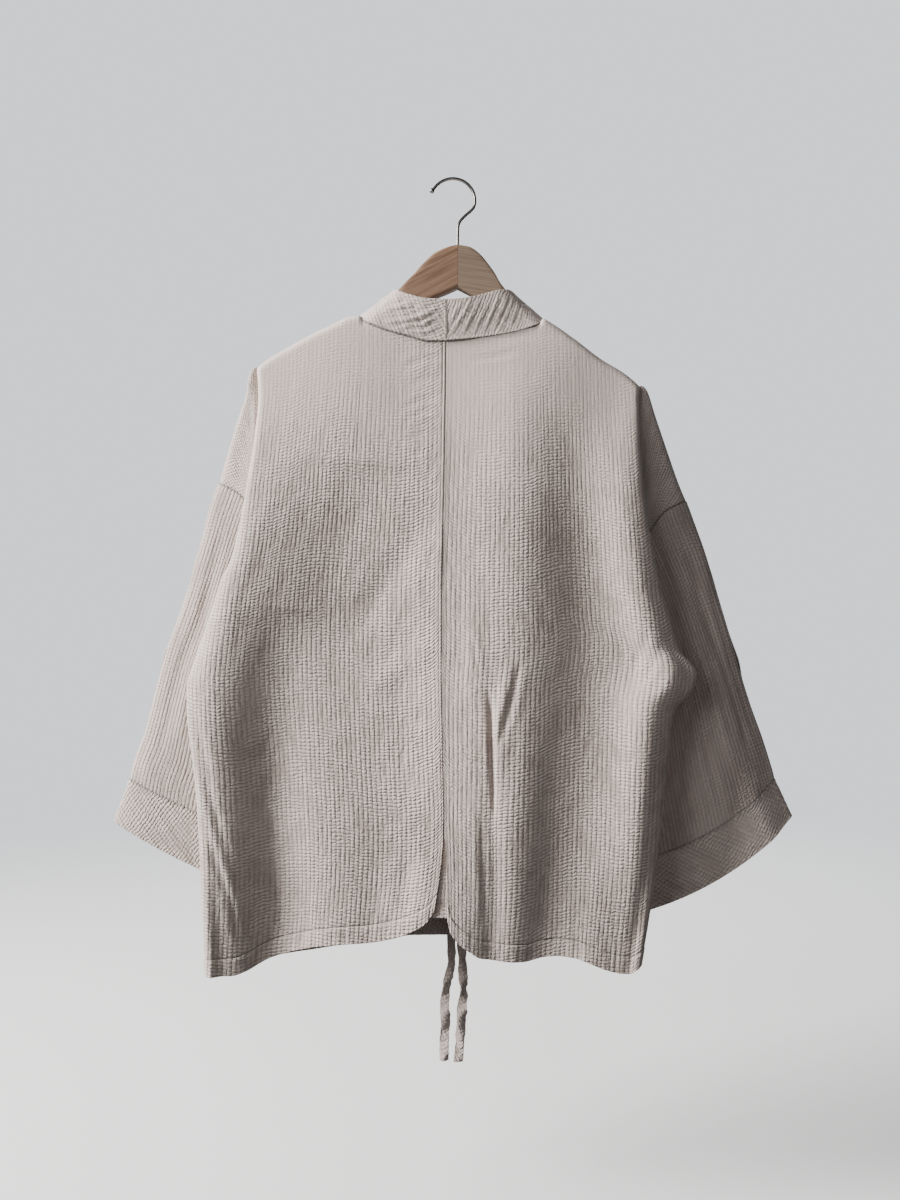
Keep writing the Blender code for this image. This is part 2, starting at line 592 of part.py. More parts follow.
def cloth(
    name, points, wall, made, closed=False, top=None, bottom=None, first=None, last=None, last_gap=SEAM,
):
    """A wall round a grid of points, (rows, columns, 3), facing rows x columns. At a sewn edge the row of
    points beyond the seam is given, so that both walls end at the same slant with a gap between them."""
    wide = points
    for beyond, axis, end in ((top, 0, False), (bottom, 0, True), (first, 1, False), (last, 1, True)):
        if beyond is not None:
            wide = seam_move(wide, beyond, axis, end, last_gap if beyond is last else SEAM)
    points = wide
    wide = padded(padded(points, top, 0, False), bottom, 0, True)
    if closed:
        wide = np.concatenate([wide[:, -1:], wide, wide[:, :1]], axis=1)
    else:
        ends = [None if e is None else np.concatenate([e[:1], e, e[-1:]]) for e in (first, last)]
        for n, end in enumerate(ends):
            if end is not None:
                end[0] += wide[0, -n] - wide[1, -n]
                end[-1] += wide[-1, -n] - wide[-2, -n]
        wide = padded(padded(wide, ends[0], 1, False), ends[1], 1, True)
    down = unit(wide[1:-1, 1:-1] - wide[:-2, 1:-1]) + unit(wide[2:, 1:-1] - wide[1:-1, 1:-1])
    across = unit(wide[1:-1, 1:-1] - wide[1:-1, :-2]) + unit(wide[1:-1, 2:] - wide[1:-1, 1:-1])
    normal = unit(np.cross(down, across)) * wall / 2
    faces = (points + normal, points - normal)
    count_rows, count_columns = points.shape[:2]
    shape = bmesh.new()
    outer, inner = ([[shape.verts.new(p * MM) for p in row] for row in face] for face in faces)
    turn = count_columns if closed else count_columns - 1
    for r in range(count_rows - 1):
        for c in range(turn):
            d = (c + 1) % count_columns
            shape.faces.new((outer[r][c], outer[r + 1][c], outer[r + 1][d], outer[r][d]))
            shape.faces.new((inner[r][c], inner[r][d], inner[r + 1][d], inner[r + 1][c]))
    for c in range(turn):
        d = (c + 1) % count_columns
        shape.faces.new((outer[0][c], outer[0][d], inner[0][d], inner[0][c]))
        shape.faces.new((outer[-1][d], outer[-1][c], inner[-1][c], inner[-1][d]))
    for r in range(0 if closed else count_rows - 1):
        shape.faces.new((outer[r + 1][0], outer[r][0], inner[r][0], inner[r + 1][0]))
        shape.faces.new((outer[r][-1], outer[r + 1][-1], inner[r + 1][-1], inner[r][-1]))
    bmesh.ops.recalc_face_normals(shape, faces=shape.faces)
    mesh = bpy.data.meshes.new(name)
    shape.to_mesh(mesh)
    shape.free()
    return add(name, mesh, made)


def grid(surface, side, down, across):
    down, across = np.meshgrid(down, across, indexing="ij")
    return surface(side, across, down)


def back_grid(side):
    return grid(back_panel, side, rows(side), back_columns(side))


def front_grid(side):
    wide = back_columns(side)
    return grid(front_panel, side, rows(side), wide[len(NECK_COLUMNS):])


def band_grid(side):
    """Half of the neckband: rows from the centre back over the shoulder and down, columns out from its seam."""
    shares = np.array([*NECK_COLUMNS, 1.0])
    seam = np.concatenate([back_grid(side)[0, : len(shares)], front_grid(side)[1:, 0]])
    free = np.concatenate([route(NECKBAND_BACK[side], shares), route(NECKBAND_FRONT[side], rows(side)[1:])])
    steps = np.linspace(0, 1, BAND_COLUMNS + 1)
    return seam[:, None] + (free - seam)[:, None] * steps[None, :, None]


def other(side):
    return SIDES[1 - SIDES.index(side)]


def underarm_gap():
    """The outer edge's gap at each row, wider at the point where three pieces meet."""
    row = np.arange(len(ARMHOLE_ROWS) + len(LOWER_ROWS))
    return (SEAM + UNDERARM_EASE * np.exp(-((row - len(ARMHOLE_ROWS) + 1) ** 2) / 1.5))[:, None]


def make_backs():
    for side in SIDES:
        back, front, band = back_grid(side), front_grid(side), band_grid(side)
        at = len(NECK_COLUMNS)
        above = np.concatenate([band[:at, 1], front[1]])
        back[0, at] += unit(back[0, at + 1] - back[0, at]) * 2 * SEAM
        beside = back_grid(other(side))[:, 1]
        armhole = len(ARMHOLE_ROWS)
        beyond = np.concatenate([2 * back[:armhole, -1] - back[:armhole, -2], front[armhole:, -2]])
        shade = CLOTH if side == "left" else CLOTH_SHADE
        made = material(f"gauze_back_{side}", shade, 0.9)
        gap = underarm_gap()
        cloth(f"back_{side}", back, WALL, made, top=above, first=beside, last=beyond, last_gap=gap)


def make_fronts():
    for side in SIDES:
        back, front, band = back_grid(side), front_grid(side), band_grid(side)
        at = len(NECK_COLUMNS)
        armhole = len(ARMHOLE_ROWS)
        beyond = np.concatenate([2 * front[:armhole, -1] - front[:armhole, -2], back[armhole:, -2]])
        made = material(f"gauze_front_{side}", CLOTH_SHADE, 0.9)
        above, beside, gap = back[1, at:], band[at:, 1], underarm_gap()
        cloth(f"front_{side}", front, WALL, made, top=above, first=beside, last=beyond, last_gap=gap)


def sleeve_grid(side):
    return grid(sleeve, side, np.linspace(0, 1, SLEEVE_RINGS + 1), round_shares())


def cuff_grid(side):
    return grid(cuff, side, np.linspace(0, 1, CUFF_RINGS + 1), round_shares())


def halves(tube_grid):
    """The back and the front half of a tube's grid, split at its two folds, each with both folds' columns."""
    fold = len(ARMHOLE_ROWS)
    return tube_grid[:, :fold], np.concatenate([tube_grid[:, fold - 1:], tube_grid[:, :1]], axis=1)


def make_sleeves():
    for side in SIDES:
        rings, ends = sleeve_grid(side), cuff_grid(side)
        made = material(f"gauze_sleeve_{side}", CLOTH, 0.9)
        (back, front), (hem_back, hem_front) = halves(rings), halves(ends)
        cloth(
            f"sleeve_{side}_back", back, WALL, made, bottom=hem_back[1], first=front[:, -2], last=front[:, 1],
        )
        cloth(
            f"sleeve_{side}_front", front, WALL, made, bottom=hem_front[1], first=back[:, -2], last=back[:, 1],
        )
        made = material(f"gauze_cuff_{side}", CLOTH, 0.9)
        cloth(f"cuff_{side}", ends, BAND_WALL, made, closed=True, top=rings[-2])


def make_neckband():
    for side in SIDES:
        back, front, band = back_grid(side), front_grid(side), band_grid(side)
        beside = np.concatenate([back[1, : len(NECK_COLUMNS)], front[:, 1]])
        made = material(f"gauze_neckband_{side}", CLOTH, 0.9)
        above = band_grid(other(side))[1]
        cloth(f"neckband_{side}", band, BAND_WALL, made, top=above, first=beside)


def make_vent_strip():
    drops, left, right = (np.linspace(*column(VENT_STRIP, n), VENT_ROWS) for n in range(3))
    top, hem = TOP_EDGE["left"][0][1], HEM["left"][0][1]
    y = smooth(column(DEPTH, 0), column(DEPTH, 1), (drops - top) / (hem - top)) + WALL + VENT_GAP
    points = np.stack([np.stack([x, y, -drops], axis=-1) for x in np.linspace(left, right, 3)], axis=1)
    cloth("vent_strip", points, WALL, material("gauze_vent", CLOTH_SHADE, 0.9))


def make_ties():
    for side in SIDES:
        table = TIES[side]
        drops = np.linspace(table[0][0], table[-1][0], TIE_ROWS)
        x = smooth(column(table, 0), column(table, 1), drops)
        turn = np.radians(smooth(column(table, 0), column(table, 2), drops))
        half = TIE_WIDTH / 2
        points = np.stack([
            np.stack([x + s * half * np.cos(turn), TIE_Y + s * half * np.sin(turn), -drops], axis=-1)
            for s in (-1.0, 1.0)
        ], axis=1)
        cloth(f"tie_{side}", points, TIE_WALL, material(f"gauze_tie_{side}", CLOTH, 0.9))


def make_hanger():
    for side in SIDES:
        table = ARM[side]
        x = np.array(column(table, 0))
        top, under, half = (np.array(column(table, n)) for n in (1, 2, 3))
        angle = np.linspace(0, 2 * math.pi, ARM_SIDES, endpoint=False)
        c, s = np.cos(angle), np.sin(angle)
        y = half[:, None] * np.sign(c) * np.abs(c) ** 0.7
        z = -(top + under)[:, None] / 2 + (under - top)[:, None] / 2 * np.sign(s) * np.abs(s) ** 0.8
        shape = bmesh.new()
        rings = [
            [shape.verts.new((x[r] * MM, y[r, n] * MM, z[r, n] * MM)) for n in range(len(angle))]
            for r in range(len(x))
        ]
        for one, other in zip(rings, rings[1:]):
            for n in range(len(angle)):
                m = (n + 1) % len(angle)
                shape.faces.new((one[n], one[m], other[m], other[n]))
        shape.faces.new(rings[0])
        shape.faces.new(rings[-1])
        bmesh.ops.recalc_face_normals(shape, faces=shape.faces)
        mesh = bpy.data.meshes.new(f"hanger_{side}")
        shape.to_mesh(mesh)
        shape.free()
        colour = BEECH_WARM if side == "left" else BEECH_PALE
        add(f"hanger_{side}", mesh, material(f"beech_{side}", colour, 0.45))


def hook_route():
    """The wire's centreline, from its tip down to the wood."""
    angles = np.radians(np.linspace(HOOK_TIP_ANGLE, HOOK_NECK_ANGLE, 19))
    points = [
        (HOOK_X + HOOK_RADIUS * math.cos(a), 0.0, -HOOK_DROP + HOOK_RADIUS * math.sin(a)) for a in angles
    ]
    points += [(x, 0.0, -drop) for x, drop in HOOK_NECK]
    return points + [(STEM_X, 0.0, -drop) for drop in (62.0, STEM_END)]


def make_hook():
    line = hook_route()
    curve = bpy.data.curves.new("hook_wire", "CURVE")
    curve.dimensions = "3D"
    curve.bevel_depth = WIRE / 2 * MM
    curve.bevel_resolution = 2
    curve.use_fill_caps = True
    spline = curve.splines.new("POLY")
    spline.points.add(len(line) - 1)
    for point, at in zip(spline.points, line):
        point.co = (*(value * MM for value in at), 1.0)
    wire = bpy.data.objects.new("hook_wire", curve)
    bpy.context.collection.objects.link(wire)
    made = material("hook_steel", STEEL, 0.35, 1.0)
    curve.materials.append(made)
    ball = bmesh.new()
    bmesh.ops.create_icosphere(ball, subdivisions=2, radius=BALL_RADIUS * MM)
    end, before = np.array(line[0]), np.array(line[1])
    middle = end + unit(end - before) * (BALL_RADIUS + BALL_GAP)
    bmesh.ops.translate(ball, verts=ball.verts, vec=middle * MM)
    mesh = bpy.data.meshes.new("hook_ball")
    ball.to_mesh(mesh)
    ball.free()
    add("hook_ball", mesh, made)


make_backs()
make_fronts()
make_sleeves()
make_neckband()
make_vent_strip()
make_ties()
make_hanger()
make_hook()
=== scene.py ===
"""A kimono jacket in crinkled double gauze, hanging on its wooden hanger. Its back faces -Y.

Lengths in the tables are millimetres. The origin is the inside of the hook's top, where the hook bears.
Heights are given as drops below that point. The jacket's own left is at -X, and +Y is the front side.
"""

import math
from types import SimpleNamespace

import bmesh
import bpy
import numpy as np
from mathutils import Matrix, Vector


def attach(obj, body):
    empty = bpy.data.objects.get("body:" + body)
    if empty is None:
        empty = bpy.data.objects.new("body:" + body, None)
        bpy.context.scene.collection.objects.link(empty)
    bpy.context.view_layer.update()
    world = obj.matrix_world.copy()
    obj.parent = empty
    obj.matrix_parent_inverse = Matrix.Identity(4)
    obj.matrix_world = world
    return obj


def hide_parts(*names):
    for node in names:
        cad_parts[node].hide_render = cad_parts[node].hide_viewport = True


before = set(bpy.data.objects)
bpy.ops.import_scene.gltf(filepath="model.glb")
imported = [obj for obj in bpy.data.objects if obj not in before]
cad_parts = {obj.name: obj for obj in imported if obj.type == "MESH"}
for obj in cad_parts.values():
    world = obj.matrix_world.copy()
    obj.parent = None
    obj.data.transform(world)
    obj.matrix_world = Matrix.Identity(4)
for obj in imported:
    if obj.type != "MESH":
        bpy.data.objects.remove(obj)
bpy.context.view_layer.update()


# The hanger's two halves are shaped beech, 14 mm thick, glued at a mitre in the middle, with sanded edges
# under a clear satin varnish. The left piece is warmer, with its grain along the arm, the right one paler.
MM = 0.001
SIDES = ("left", "right")
OUT = {"left": -1.0, "right": 1.0}

# The hanger's arms: x, drop of the top, drop of the underside, half thickness
ARM = {
    "left": (
        (1.97, 73.9, 122, 7), (-8, 76.2, 126.5, 7), (-23.5, 83, 132.8, 7), (-37, 95.2, 138.8, 7),
        (-48, 107.5, 144, 7), (-57, 116.5, 149, 7), (-63, 122.9, 152.5, 6.4), (-70, 129.2, 156.5, 5.6),
        (-88, 144.5, 167, 5), (-108, 159, 178, 5), (-130, 163.5, 189, 5.4), (-161, 176.6, 203, 5.4),
        (-191, 193.5, 216, 5), (-205, 202.5, 221, 4.4), (-215, 210.5, 222, 3.2),
    ),
    "right": (
        (2.03, 73.9, 122, 7), (14.6, 76.2, 128.5, 7), (26.3, 84, 134, 7), (35.8, 95.2, 139, 7),
        (43.7, 106.4, 142.8, 7), (49.3, 116.5, 146.5, 7), (55, 123.6, 150.5, 6.2), (63, 131, 156, 5.6),
        (80, 147, 168.5, 5), (97, 162, 180, 5), (131, 181.3, 203, 5.4), (161, 203.5, 222, 5),
        (180, 215.3, 231, 4.4), (193, 225.5, 235, 3.2),
    ),
}

ARM_STEPS, ARM_SIDES = 120, 72
STEM_X = 2.0
# How square the arm's section is, and how long its rounded tip
ARM_SQUARE, ARM_TIP = 0.24, 5.0
# Grain: slope in degrees, light and dark colour, length and spacing of the figure
BEECH = {
    "left": (-27.0, (0.245, 0.146, 0.090), (0.142, 0.074, 0.042), 90.0, 4.2),
    "right": (9.0, (0.212, 0.150, 0.104), (0.160, 0.108, 0.072), 60.0, 1.6),
}


def smooth(xs, ys, at):
    """A smooth curve through a table's values that never overshoots them."""
    xs, ys, at = (np.asarray(a, float) for a in (xs, ys, at))
    if xs[0] > xs[-1]:
        xs, at = -xs, -at
    step = np.diff(xs)
    slope = np.diff(ys) / step
    tangent = np.concatenate([[slope[0]], np.zeros(len(xs) - 2), [slope[-1]]])
    for i in range(1, len(xs) - 1):
        if slope[i - 1] * slope[i] > 0:
            a, b = 2 * step[i] + step[i - 1], step[i] + 2 * step[i - 1]
            tangent[i] = (a + b) / (a / slope[i - 1] + b / slope[i])
    i = np.clip(np.searchsorted(xs, at, side="right") - 1, 0, len(xs) - 2)
    t = np.clip((at - xs[i]) / step[i], 0.0, 1.0)
    start, end = ys[i] + 0.0, ys[i + 1] + 0.0
    return (
        start * (1 + 2 * t) * (1 - t) ** 2
        + tangent[i] * step[i] * t * (1 - t) ** 2
        + end * t * t * (3 - 2 * t)
        + tangent[i + 1] * step[i] * t * t * (t - 1)
    )


def column(table, n):
    return [row[n] for row in table]


def quarter(distance, radius):
    """How far a quarter circle has turned away, from 0 at its start to 1."""
    return np.sqrt(1 - (1 - np.clip(distance / radius, 0, 1)) ** 2)


def lengths(points):
    """How far along a line of points each of them lies."""
    return np.concatenate([[0], np.cumsum(np.linalg.norm(np.diff(points, axis=0), axis=1))])


def rotated(u, v, angle):
    """Coordinates on the cloth, turned by an angle."""
    return u * math.cos(angle) + v * math.sin(angle), v * math.cos(angle) - u * math.sin(angle)


def fade(at, start, end):
    t = np.clip((at - start) / (end - start), 0, 1)
    return t * t * (3 - 2 * t)


def node(made, kind, inputs=(), **settings):
    """A shader node of a kind, its inputs given as values or as other nodes' outputs."""
    new = made.node_tree.nodes.new("ShaderNode" + kind)
    for name, value in settings.items():
        setattr(new, name, value)
    for name, value in dict(inputs).items():
        if isinstance(value, bpy.types.NodeSocket):
            made.node_tree.links.new(value, new.inputs[name])
        else:
            new.inputs[name].default_value = value
    return new


def sized(made, vector, size, turn=0.0, move=0.0):
    """Coordinates counted in features of a size in millimetres, turned about Y by an angle in degrees."""
    inputs = {
        "Vector": vector, "Scale": [s * MM for s in size],
        "Rotation": (0.0, math.radians(turn), 0.0), "Location": (move, move, move),
    }
    return node(made, "Mapping", inputs, vector_type="TEXTURE").outputs["Vector"]


def math_node(made, operation, one, other=0.0):
    return node(made, "Math", {0: one, 1: other}, operation=operation).outputs[0]


def ramp(made, value, low, high):
    """0 to 1 as a value goes from low to high, eased at both ends."""
    inputs = {"Value": value, "From Min": low, "From Max": high}
    return node(made, "MapRange", inputs, interpolation_type="SMOOTHSTEP").outputs["Result"]


def mixed(made, share, one, other):
    """A colour between two, each given as a colour or as a node's output."""
    mix = node(made, "Mix", data_type="RGBA")
    for socket, value in ((mix.inputs[0], share), (mix.inputs[6], one), (mix.inputs[7], other)):
        if isinstance(value, bpy.types.NodeSocket):
            made.node_tree.links.new(value, socket)
        else:
            socket.default_value = (*value, 1.0) if isinstance(value, tuple) else value
    return mix.outputs[2]


def figure(made, place, size, turn=0.0, **inputs):
    """Noise in features of a size in millimetres."""
    inputs = {"Vector": sized(made, place, size, turn), "Scale": 1.0, **inputs}
    return node(made, "TexNoise", inputs).outputs["Fac"]


def new_material(name, roughness):
    made = bpy.data.materials.new(name)
    made.use_nodes = True
    shader = made.node_tree.nodes["Principled BSDF"]
    shader.inputs["Roughness"].default_value = roughness
    return made, shader


def bumped(made, shader, height, depth):
    """Relief of a depth in millimetres on a material."""
    bump = node(made, "Bump", {"Height": height, "Distance": depth * MM, "Strength": 1.0})
    made.node_tree.links.new(bump.outputs["Normal"], shader.inputs["Normal"])


def beech(side):
    slope, light, dark, long, wide = BEECH[side]
    made, shader = new_material(f"beech_{side}", 0.46)
    shader.inputs["Coat Weight"].default_value = 0.12
    shader.inputs["Coat Roughness"].default_value = 0.35
    place = node(made, "TexCoord").outputs["Object"]
    flame = figure(made, place, (long, 30.0, wide), slope, Detail=3.0, Distortion=0.35)
    pores = figure(made, place, (9.0, 2.0, 0.45), slope, Detail=1.0)
    colour = mixed(made, ramp(made, flame, 0.42, 0.66), light, dark)
    colour = mixed(made, math_node(made, "MULTIPLY", ramp(made, pores, 0.58, 0.72), 0.45), colour, dark)
    from_mitre = math_node(made, "SUBTRACT", node(made, "SeparateXYZ", {0: place}).outputs[0], STEM_X * MM)
    glue = ramp(made, math_node(made, "ABSOLUTE", from_mitre), 0.5 * MM, 0.1 * MM)
    colour = mixed(made, math_node(made, "MULTIPLY", glue, 0.7), colour, tuple(c * 0.4 for c in dark))
    made.node_tree.links.new(colour, shader.inputs["Base Color"])
    bumped(made, shader, pores, -0.06)
    return made


def clothe(name, mesh, made, slot, *nodes):
    """An object for a mesh, riding on the one body, in place of its solids."""
    mesh.materials.append(made)
    mesh.shade_smooth()
    thing = bpy.data.objects.new(name, mesh)
    bpy.context.collection.objects.link(thing)
    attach(thing, "root")
    if nodes:
        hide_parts(*nodes)
    return thing


def arm_mesh(side):
    table = ARM[side]
    ends = table[0][0], table[-1][0]
    shape = bmesh.new()
    bmesh.ops.create_grid(shape, x_segments=ARM_STEPS, y_segments=ARM_SIDES, size=0.5)
    at = np.array([v.co for v in shape.verts]) + 0.5
    x = ends[0] + (ends[1] - ends[0]) * at[:, 0]
    top, under, half = (smooth(column(table, 0), column(table, n), x) for n in (1, 2, 3))
    tip = 0.25 + 0.75 * quarter(np.abs(ends[1] - x), ARM_TIP)
    angle = 2 * math.pi * at[:, 1]
    c, s = np.cos(angle), np.sin(angle)
    y = half * tip * np.sign(c) * np.abs(c) ** ARM_SQUARE
    z = -(top + under) / 2 + (under - top) / 2 * tip * np.sign(s) * np.abs(s) ** ARM_SQUARE
    for vert, place in zip(shape.verts, np.stack([x, y, z], axis=-1) * MM):
        vert.co = place
    bmesh.ops.remove_doubles(shape, verts=shape.verts, dist=1e-6)
    bmesh.ops.holes_fill(shape, edges=shape.edges, sides=0)
    bmesh.ops.recalc_face_normals(shape, faces=shape.faces)
    mesh = bpy.data.meshes.new(f"wooden_hanger_{side}")
    shape.to_mesh(mesh)
    shape.free()
    return mesh


for side in SIDES:
    slot_name = "beech_warm" if side == "left" else "beech_pale"
    arm = clothe(f"wooden_hanger_{side}", arm_mesh(side), beech(side), slot_name, f"hanger_{side}")
    arm.data.set_sharp_from_angle(angle=math.radians(40))


# The hook is steel wire, 3.5 mm thick, bent to a round, with a straight stem let into a hole in the wood.
# A small ball closes its tip. The steel is a dull grey with faint stains.
WIRE = 3.5
BALL_RADIUS = 2.9
BALL_GAP = 0.3
HOOK_X, HOOK_DROP, HOOK_RADIUS = -3.5, 23.4, 25.15
HOOK_TIP_ANGLE, HOOK_NECK_ANGLE = 147.0, -22.0
HOOK_EASING = 14
HOOK_NECK = ((14.6, 36.3), (7.5, 42.8), (3.2, 48.0), (2.1, 54.0))
STEM_END = 73.2
STEEL = (0.17, 0.16, 0.15)


def steel():
    made, shader = new_material("hook_steel", 0.30)
    shader.inputs["Metallic"].default_value = 1.0
    place = node(made, "TexCoord").outputs["Object"]
    stain = figure(made, place, (6.0, 6.0, 9.0), Detail=3.0)
    fine = figure(made, place, (0.5, 0.5, 0.5))
    shade = tuple(c * 0.8 for c in STEEL)
    colour = mixed(made, ramp(made, stain, 0.4, 0.65), STEEL, shade)
    made.node_tree.links.new(colour, shader.inputs["Base Color"])
    bumped(made, shader, fine, 0.0006)
    return made


def hook_route():
    """The wire's centreline, from its tip down to the wood."""
    angles = np.radians(np.linspace(HOOK_TIP_ANGLE, HOOK_NECK_ANGLE, 60))
    x = HOOK_X + HOOK_RADIUS * np.cos(angles)
    drop = HOOK_DROP - HOOK_RADIUS * np.sin(angles)
    bends = [(x[-1], drop[-1]), *HOOK_NECK, (STEM_X, 62.0)]
    steps = np.linspace(0, 1, 24)[1:]
    knots = np.linspace(0, 1, len(bends))
    neck_x, neck_drop = (smooth(knots, column(bends, n), steps) for n in (0, 1))
    x = np.concatenate([x, neck_x, [STEM_X]])
    drop = np.concatenate([drop, neck_drop, [STEM_END]])
    for _ in range(HOOK_EASING):
        x[1:-1] = (x[:-2] + 2 * x[1:-1] + x[2:]) / 4
        drop[1:-1] = (drop[:-2] + 2 * drop[1:-1] + drop[2:]) / 4
    return np.stack([x, 0 * x, -drop], axis=-1)


def unit(v):
    return v / np.maximum(np.linalg.norm(v, axis=-1, keepdims=True), 1e-9)


line = hook_route()
curve = bpy.data.curves.new("wire_hook", "CURVE")
curve.dimensions = "3D"
curve.bevel_depth = WIRE / 2 * MM
curve.bevel_resolution = 5
curve.use_fill_caps = True
spline = curve.splines.new("POLY")
spline.points.add(len(line) - 1)
for point, at in zip(spline.points, line):
    point.co = (*(at * MM), 1.0)
spline.use_smooth = True
wire = bpy.data.objects.new("wire_hook", curve)
bpy.context.collection.objects.link(wire)
hook_steel = steel()
curve.materials.append(hook_steel)
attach(wire, "root")
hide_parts("hook_wire")
ball = bmesh.new()
bmesh.ops.create_uvsphere(ball, u_segments=32, v_segments=20, radius=BALL_RADIUS * MM)
ball_place = line[0] + unit(line[0] - line[1]) * (BALL_RADIUS + BALL_GAP)
bmesh.ops.translate(ball, verts=ball.verts, vec=ball_place * MM)
ball_mesh = bpy.data.meshes.new("hook_tip_ball")
ball.to_mesh(ball_mesh)
ball.free()
clothe("hook_tip_ball", ball_mesh, hook_steel, "steel", "hook_ball")


# Each back panel is one piece of oatmeal double gauze, two layers woven together that crinkle in the wash.
# It hangs from the neck seam and the hanger's arm, is felled to the other panel down the middle, folds behind
# itself at the side, and ends at the armhole seam, the side seam and a stitched hem.
WALL = 1.3
RIDGE_TURN = 9.0
WING_TURN, WING_SWELL = 8.0, 4.0
BODY_LENGTH = 650.0
# Widths that grid steps are counted on: a back panel out to its fold, and from there to its outer edge
MAIN_WIDTH, WING_WIDTH = 260.0, 110.0
FOLD_ROUND, FOLD_OUT, STRAIGHT = 2.4, 0.3, 0.9
SHORTEST_ARRIVAL = 4.0
CLOTH = (0.592, 0.496, 0.446)
HEM_DEPTH = 19.0
# The crinkle's ribs, and the puckers across them
RIB_PITCH, PUCKER_PITCH = 4.6, 3.8
# Grid steps over the cloth, across it and down it, and how fast they grow away from an edge
STEP, ROW_STEP, GROWTH = 2.4, 4.0, 1.35
# The swells beside a crease, in its half widths: how far off, how wide, and their share of its height
BESIDE, BESIDE_WIDTH, BESIDE_SHARE = 2.3, 1.3, 0.35
# Where the pieces' own swells start in the random draws
SEEDS = {
    "back": {"left": 11, "right": 23}, "front": {"left": 41, "right": 53},
    "sleeve": {"left": 61, "right": 73}, "tie": {"left": 101, "right": 103},
}

# The centre-back seam, and how far the vent's edges stand off it: drop, x, left edge, right edge
CENTRE = (
    (130, -11.1, 0, 0), (184, -11.1, 0, 0), (340, -13.3, 0, 0), (470, -15.9, 0, 0), (545, -15.9, 0, 0),
    (619, -14.9, 0, 0), (694, -13.3, 0, 0), (725, -12.8, 1.2, 0.6), (765, -12.2, 5.3, 2),
    (795, -12, 10, 2.5), (812, -12, 12.5, 2.6), (880, -12, 14, 4),
)

# The top edge of each back panel, out from the centre: x, drop, y. It ends at the hanger's tip.
TOP_EDGE = {
    "left": (
        (-11.1, 184, -15), (-31, 184.3, -15), (-52, 179, -15), (-76, 172.5, -14.5), (-94, 165.7, -13.5),
        (-103.5, 161, -9.5), (-108, 153.5, 0), (-121, 155, 0), (-130, 159.3, 0), (-161, 174, 0),
        (-191, 190.5, 0), (-213, 204, 0), (-221, 211, 0),
    ),
    "right": (
        (-11.1, 184, -15), (7.6, 182.6, -15), (28.6, 180, -15), (58, 175.2, -14.5), (83.8, 168, -13.5),
        (92.5, 164, -9.5), (97, 156.5, 0), (103, 159.5, 0), (131, 178.4, 0), (161, 200.5, 0), (185, 215, 0),
        (199, 226.5, 0), (204.5, 232, 0),
    ),
}

NECK_POINT = {"left": -108.0, "right": 97.0}
# How far to both sides the top edge's drop is evened out where the depth below it is looked up
TOP_EVENED = (-36, -24, -12, 0, 12, 24, 36)

# The upper outline from the hanger's tip to the end of the dropped shoulder: along, x, y, drop
SHOULDER_END = {
    "left": (
        (0, -221, 0, 211), (0.12, -231, 0, 223.5), (0.24, -238, 1, 239), (0.36, -240.8, 3, 256),
        (0.6, -252, 7, 288), (0.82, -261, 10, 317), (1, -268, 12, 338),
    ),
    "right": (
        (0, 204.5, 0, 232), (0.12, 215, 0.5, 243.5), (0.24, 222.5, 2, 257), (0.4, 229.5, 4, 278),
        (0.6, 239, 7, 305), (0.82, 251, 10, 338), (1, 260, 12, 358),
    ),
}

# The fold where each back panel turns behind itself, from the hanger's tip to the hem: drop, x
FOLD = {
    "left": (
        (211, -221), (247, -219), (291, -222.5), (348, -230.5), (404, -241), (426, -247), (448, -257),
        (495, -272.5), (549, -290.5), (564, -294.5), (592, -294), (628, -290), (671, -284.5), (736, -280),
        (807, -276.5), (879, -272),
    ),
    "right": (
        (232, 204.5), (252, 203), (298, 203.2), (355, 206.5), (404, 213.5), (430, 218.5), (471, 227.5),
        (498, 236), (528, 245.5), (540, 257), (552, 264), (566, 261), (580, 250), (590, 240), (631, 233.5),
        (686, 227), (746, 220.5), (821, 210), (868, 202),
    ),
}

# Where the fold passes the lowest point of the armhole
UNDERARM_DROP = {"left": 520.0, "right": 516.0}

# The hem of each back panel: x, drop
HEM = {
    "left": (
        (-24, 806), (-31, 818), (-44, 827.5), (-66, 837), (-94, 843), (-123, 845), (-152, 848.5),
        (-179, 856), (-206, 866), (-229, 876.5), (-243, 879.4), (-272, 879.4),
    ),
    "right": (
        (-9.4, 816), (-6, 829), (2.7, 840), (14.8, 850), (25, 856.5), (41, 859.3), (75, 862), (92, 859),
        (109, 857.3), (126, 858.7), (143.5, 863.6), (161, 870.7), (177.5, 875.2), (188, 876), (196, 872),
        (202, 866),
    ),
}

# How deep a back panel lies: share of the way down, y at the centre, y near the fold, radius of the fold
DEPTH = (
    (0, -13, -9, 5), (0.05, -15, -13, 5.5), (0.15, -20, -19.5, 6.5), (0.3, -27, -26, 8),
    (0.53, -34, -31, 9), (0.75, -38, -34, 10), (1, -41, -37, 11),
)

# The largest folds of the back panels: share across at the top and at the hem, share of the way down where
# the fold starts and ends, half width, and how far it comes forward or falls back (+)
BROAD_FOLDS = {
    "left": (
        (0.8, 0.72, 0.5, 1.6, 34, 7), (0.38, 0.4, 0.52, 1.5, 46, -5), (0.93, 0.9, 0.22, 0.75, 20, -4.5),
        (0.2, 0.1, 0.25, 0.8, 30, 3),
    ),
    "right": (
        (0.86, 0.84, 0.12, 0.95, 24, -6), (0.5, 0.47, 0.6, 1.6, 24, 6.5), (0.7, 0.72, 0.62, 1.6, 26, -5),
        (0.22, 0.22, 0.5, 1.5, 12, 4), (0.6, 0.64, 0.1, 0.6, 40, 3.5),
    ),
}

